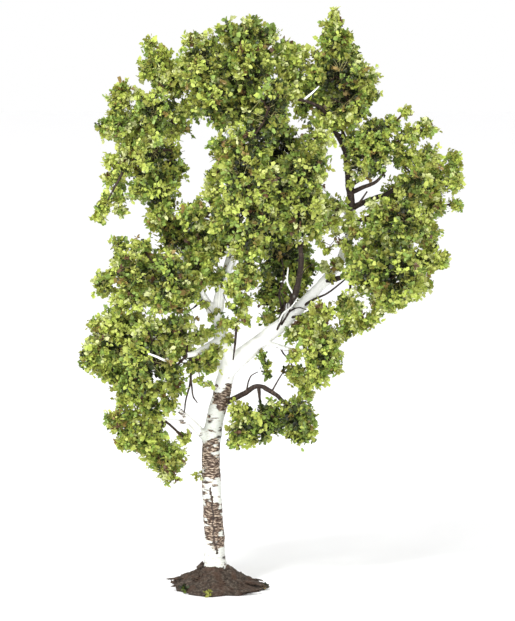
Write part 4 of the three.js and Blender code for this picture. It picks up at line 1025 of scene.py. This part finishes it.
def build_dark_limbs():
    parts = []
    for foot, tip, route in DARK_LIMBS.values():
        points = smooth_route(route, DARK_SPACING)
        parts.append(rough_tube(points, limb_radii(foot, tip, points), DARK_SIDES, *DARK_LUMPS))
    parts += [bare_twig(foot, route, *DARK_TWIG) for foot, route in DARK_TWIGS]
    piece = add_piece("dark_limbs", *join_parts(parts), dark_bark_material(), "dark_bark", smooth=True)
    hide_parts(*DARK_LIMBS)


def build_white_twigs():
    parts = [bare_twig(foot, route, *WHITE_TWIG) for foot, route in WHITE_TWIGS]
    add_piece("white_twigs", *join_parts(parts), white_bark_material(), "white_bark", smooth=True)


def build_foliage():
    foliage = Foliage()
    random = np.random.default_rng(7)
    for name, (carrier, _) in CLUMPS.items():
        def keep(points):
            return in_own_space(name, points) & clear_of_limbs(points, LIMB_MARGIN) & ~in_hole(name, points)

        foliage.grow(CLUMP_LOBES[name], LIMB_POINTS[carrier][-1], random, keep)
    for foot, arm in SPRIGS:
        def keep(points):
            return clear_of_limbs(points, SPRIG_MARGIN)

        foliage.grow(np.array(arm, float), np.array(foot), random, keep, SPRIG_STEM)

    paths, radii = (np.array(rows) for rows in zip(*foliage.twigs))
    material = plain_material("dark_twig", (58, 44, 34), 0.75)
    twigs = add_piece("twigs", *thin_tubes(paths, radii, FINE_TWIG_SIDES), material, "dark_twig")

    paths = np.vstack(foliage.fibres)
    radii = np.tile(FIBRE_RADII, (len(paths), 1))
    pale = plain_material("pale_twig", (160, 156, 98), 0.6)
    half = len(paths) // 2
    for name, part in (("fibres_low", slice(0, half)), ("fibres_high", slice(half, None))):
        add_piece(name, *thin_tubes(paths[part], radii[part], FIBRE_SIDES), pale, "pale_twig")
    build_leaves(foliage, random)
    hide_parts(*CLUMPS)


def leaf_tints(sprays, depths, random):
    """The tint of each spray, dealt out by its place, its depth in the clump and by chance."""
    count = len(sprays)
    tone = sum(size * noise(sprays, scale, seed) for size, scale, seed in TONE_NOISES)
    # Sprays deeper in their clump get darker tints: painted shade.
    tone = tone + TONE_CHANCE * random.random(count) - DEPTH_SHADE * np.clip(depths, 0, 5)
    # Painted light and shade in the crown, and muted sprig colour on the mound.
    for middle, radius, change in LIGHT_SHADE_AND_TINT_PLACES:
        tone += change * np.exp(-np.sum((sprays - middle) ** 2, axis=1) / radius ** 2)
    rank = np.argsort(np.argsort(tone)) / count
    shares = [share for _, share in LEAF_TINTS.values()]
    tint = np.array(list(LEAF_TINTS), object)[np.searchsorted(np.cumsum(shares)[:-1], rank)]
    chance = random.random(count)
    start = 0
    for name, (_, share) in DRY_TINTS.items():
        tint[(chance >= start) & (chance < start + share)] = name
        start += share
    return tint


def build_leaves(foliage, random):
    """One piece of flakes for each tint."""
    roots, directions, sizes, sprays, depths = map(np.concatenate, zip(*foliage.leaves))
    tint = np.repeat(leaf_tints(sprays, depths, random), LEAVES_PER_SPRAY)
    for name, (colour, _) in {**LEAF_TINTS, **DRY_TINTS}.items():
        chosen = tint == name
        flakes = leaf_flakes(roots[chosen], directions[chosen], sizes[chosen], random)
        piece = add_piece(name, *flakes, plain_material(name, colour, 0.5, 0.5), "leaf_flock")
        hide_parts(*CLUMPS)


# Lumps of the mound's top and rags of its rim: scale, seed and size
MOUND_LUMPS = [(2.8, 62, 1.3), (1.1, 63, 0.5), (0.5, 64, 0.25)]
RIM_RAGS = (0.12, 61, 0.06)
RIM_LUMPS = 0.15
RIM_HEIGHT = 0.3
INNER_RING = 0.02
TOP_INSET = 0.995
UNDERSIDE_SHARE = 0.95
# A crumb: its corners, the sides round its waist, and how much crumbs differ
CRUMB = np.array([(1, 0, 0), (-1, 0, 0), (0, 1, 0), (0, -1, 0), (0, 0, 1), (0, 0, -1)])
CRUMB_SIDES = [(0, 2), (2, 1), (1, 3), (3, 0)]
CRUMB_SIZE = 0.9
CRUMB_SPREAD = (-1.0, 0.35)
CRUMB_CORNERS = (0.5, 1.2)
CRUMB_SHIFT = 0.15
CRUMB_REACH = 0.97


def mound_reach(angle):
    """How far out the rim lies, by the source's rule."""
    ripples = sum(depth * np.sin(waves * angle + start) for waves, depth, start in RIM_RIPPLES)
    return MOUND_RADIUS * (1 + ripples)


def mound_height(x, y):
    """The mound's top by the source's rule, without its finer relief."""
    angle = np.arctan2(y, x)
    out = np.hypot(x, y) / mound_reach(angle)
    height = np.interp(out, *zip(*sorted(MOUND_PROFILE[1:]))) * MOUND_HEIGHT
    rough = sum(rise * np.sin(waves * angle + twist * out) for waves, rise, twist in TOP_RIPPLES)
    lift = RIM_LIFT * out ** RIM_LIFT_POWER * np.sin(2 * (angle + RIM_LIFT_TURN)) ** 2
    slump = 1 - SLUMP * np.clip((x - SLUMP_FROM) / SLUMP_RUN, 0, 1)
    return (height + out * rough) * slump + lift


def earth_mound():
    """The mound with a lumpy, flaky top, a ragged rim and a flat underside."""
    out, angle = np.meshgrid(np.linspace(INNER_RING, 1, MOUND_RINGS), turns(MOUND_SPOKES), indexing="ij")
    round_way = np.stack([np.cos(angle), np.sin(angle), 0 * angle], axis=-1)
    reach = out * (mound_reach(angle) + MOUND_RADIUS * waver(round_way, *RIM_RAGS))
    top = reach[..., None] * round_way
    below = top[-1] * UNDERSIDE_SHARE
    lumps = sum(waver(top, *lump) for lump in MOUND_LUMPS) * np.clip(3 * (1.02 - out), RIM_LUMPS, 1)
    top[..., 2] = mound_height(*(TOP_INSET * top[..., :2]).transpose(2, 0, 1)) + lumps
    vertices = np.vstack([raised(top, RIM_HEIGHT), below, [(0, 0, MOUND_HEIGHT), (0, 0, 0)]])
    start = MOUND_RINGS * MOUND_SPOKES
    peak = start + MOUND_SPOKES
    sides = ring_faces(MOUND_RINGS + 1, MOUND_SPOKES)[:, ::-1]
    underside = fan_faces(start, MOUND_SPOKES, peak + 1)[:, ::-1]
    return vertices, np.vstack([sides, fan_faces(0, MOUND_SPOKES, peak), underside])


def earth_crumbs():
    """Small eight-sided crumbs strewn over the mound."""
    random = np.random.default_rng(65)
    away = np.sqrt(random.random(CRUMBS)) * CRUMB_REACH * MOUND_RADIUS
    angle = random.random(CRUMBS) * 2 * math.pi
    x, y = away * np.cos(angle), away * np.sin(angle)
    size = random.lognormal(*CRUMB_SPREAD, CRUMBS) * CRUMB_SIZE
    corners = len(CRUMB)
    shape = CRUMB[None] * random.uniform(*CRUMB_CORNERS, (CRUMBS, corners, 1))
    shape = shape + random.normal(scale=CRUMB_SHIFT, size=(CRUMBS, corners, 3))
    vertices = np.stack([x, y, mound_height(x, y)], axis=1)[:, None] + shape * size[:, None, None]
    faces = np.array([(a, b, 4) for a, b in CRUMB_SIDES] + [(b, a, 5) for a, b in CRUMB_SIDES])
    return raised(vertices), repeated(faces, CRUMBS, corners)


# Thin flakes of earth that stick out at the rim: width and the points of the route
EARTH_BLADES = [
    (3, [(-8.5, 2, 2.8), (-12, 2.4, 2.6), (-15.6, 2.2, 2.2)]),
    (2.4, [(-8.5, -4, 2.7), (-11.6, -5, 2), (-13.8, -5.6, 1.4)]),
    (2.6, [(9, -3, 2.8), (13.4, -4, 1.8), (16.8, -5, 1.2)]),
    (2.2, [(9, 3, 2.7), (12.6, 3, 1.9), (15.2, 2.4, 1.5)]),
    (2.4, [(6.5, -9, 2), (10.6, -10, 1.2), (14, -10.4, 0.8)]),
    (2, [(3, -12, 1.8), (7.4, -12.6, 1.5), (11.6, -11, 1.5), (16, -8, 1.7)]),
    (1.4, [(-1, -10.5, 2), (-2.6, -13.4, 1), (-4.6, -15, 0.5)]),
    (1.5, [(1, 10, 2.6), (3, 13.4, 1.2), (4.4, 15.4, 0.6)]),
    (1.4, [(-6, 9, 2.4), (-9.4, 12, 1.2), (-11, 13, 0.7)]),
    (2.6, [(-4.6, 0.6, 6.4), (-4.2, -0.4, 7.4), (-4, -1, 8.6)]),
]
BLADE_SPACING = 0.5
BLADE_SIDES = 8
BLADE_TAPER = 0.7
BLADE_TIP = 0.06
BLADE_FLATNESS = 0.45
BLADE_LUMPS = (0.9, 66, 0.4)


def earth_blade(width, route):
    """A flat, pointed flake along its route."""
    points = smooth_route(route, BLADE_SPACING)
    share = np.linspace(0, 1, len(points))
    vertices, faces = tube(points, 0.5 * width * (1 - share) ** BLADE_TAPER + BLADE_TIP, BLADE_SIDES)
    level = np.append(np.repeat(points[:, 2], BLADE_SIDES), points[[0, -1], 2])
    vertices[:, 2] = level + BLADE_FLATNESS * (vertices[:, 2] - level)
    return raised(vertices + waver(vertices, *BLADE_LUMPS)[:, None]), faces


def build_mound():
    material = earth_material()
    blades = join_parts([earth_blade(*row) for row in EARTH_BLADES])
    parts = {"earth_mound": earth_mound(), "earth_crumbs": earth_crumbs(), "earth_blades": blades}
    for name, (vertices, faces) in parts.items():
        piece = add_piece(name, vertices, faces, material, "earth", smooth=name != "earth_crumbs")
        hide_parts("mound")


# Stage

FLOOR_HALF = 4.0
WHITE = (1, 1, 1, 1)
# Each light: its place, what it points at, its size in metres and its power in watts
LIGHTS = {
    "key": ((-0.55, -0.75, 1.0), (0.01, 0, 0.08), 0.35, 13),
    "fill": ((0.1, -1.5, 0.06), (0.01, 0, 0.09), 0.9, 14.5),
}


def build_stage():
    floor = bpy.data.meshes.new("floor")
    corners = [(x * FLOOR_HALF, y * FLOOR_HALF, 0) for x, y in ((-1, -1), (1, -1), (1, 1), (-1, 1))]
    floor.from_pydata(corners, [], [(0, 1, 2, 3)])
    piece = add_object("floor", floor)
    material, _, shader = new_material("floor", 0.9)
    shader.inputs["Base Color"].default_value = (0.984, 0.984, 0.988, 1)
    floor.materials.append(material)


def add_light(name, place, aim, size, power):
    light = bpy.data.lights.new(name, "AREA")
    light.shape = "DISK"
    light.size = size
    light.energy = power
    lamp = add_object(name, light)
    lamp.location = place
    lamp.rotation_mode = "QUATERNION"
    lamp.rotation_quaternion = (Vector(aim) - Vector(place)).to_track_quat("-Z", "Y")


def build_lights():
    world = bpy.data.worlds.new("studio")
    world.use_nodes = True
    background = world.node_tree.nodes["Background"]
    background.inputs["Color"].default_value = WHITE
    background.inputs["Strength"].default_value = 1.0
    bpy.context.scene.world = world
    for name, row in LIGHTS.items():
        add_light(name, *row)
    view = bpy.context.scene.view_settings
    view.view_transform = "Standard"
    view.look = "None"


def build_camera():
    data = bpy.data.cameras.new("camera")
    data.sensor_width = 36
    data.lens = PIXELS_AT_UNIT * data.sensor_width / max(IMAGE_SIZE)
    data.clip_start, data.clip_end = 0.05, 50
    camera = add_object("camera", data)
    back = DISTANCE * np.array([0, -math.cos(ELEVATION), math.sin(ELEVATION)])
    camera.location = (np.array(AIM) + back) * MM
    camera.rotation_euler = (math.pi / 2 - ELEVATION, 0, 0)
    bpy.context.scene.camera = camera


build_camera()
build_stage()
build_lights()
build_bark()
build_dark_limbs()
build_white_twigs()
build_mound()
build_foliage()
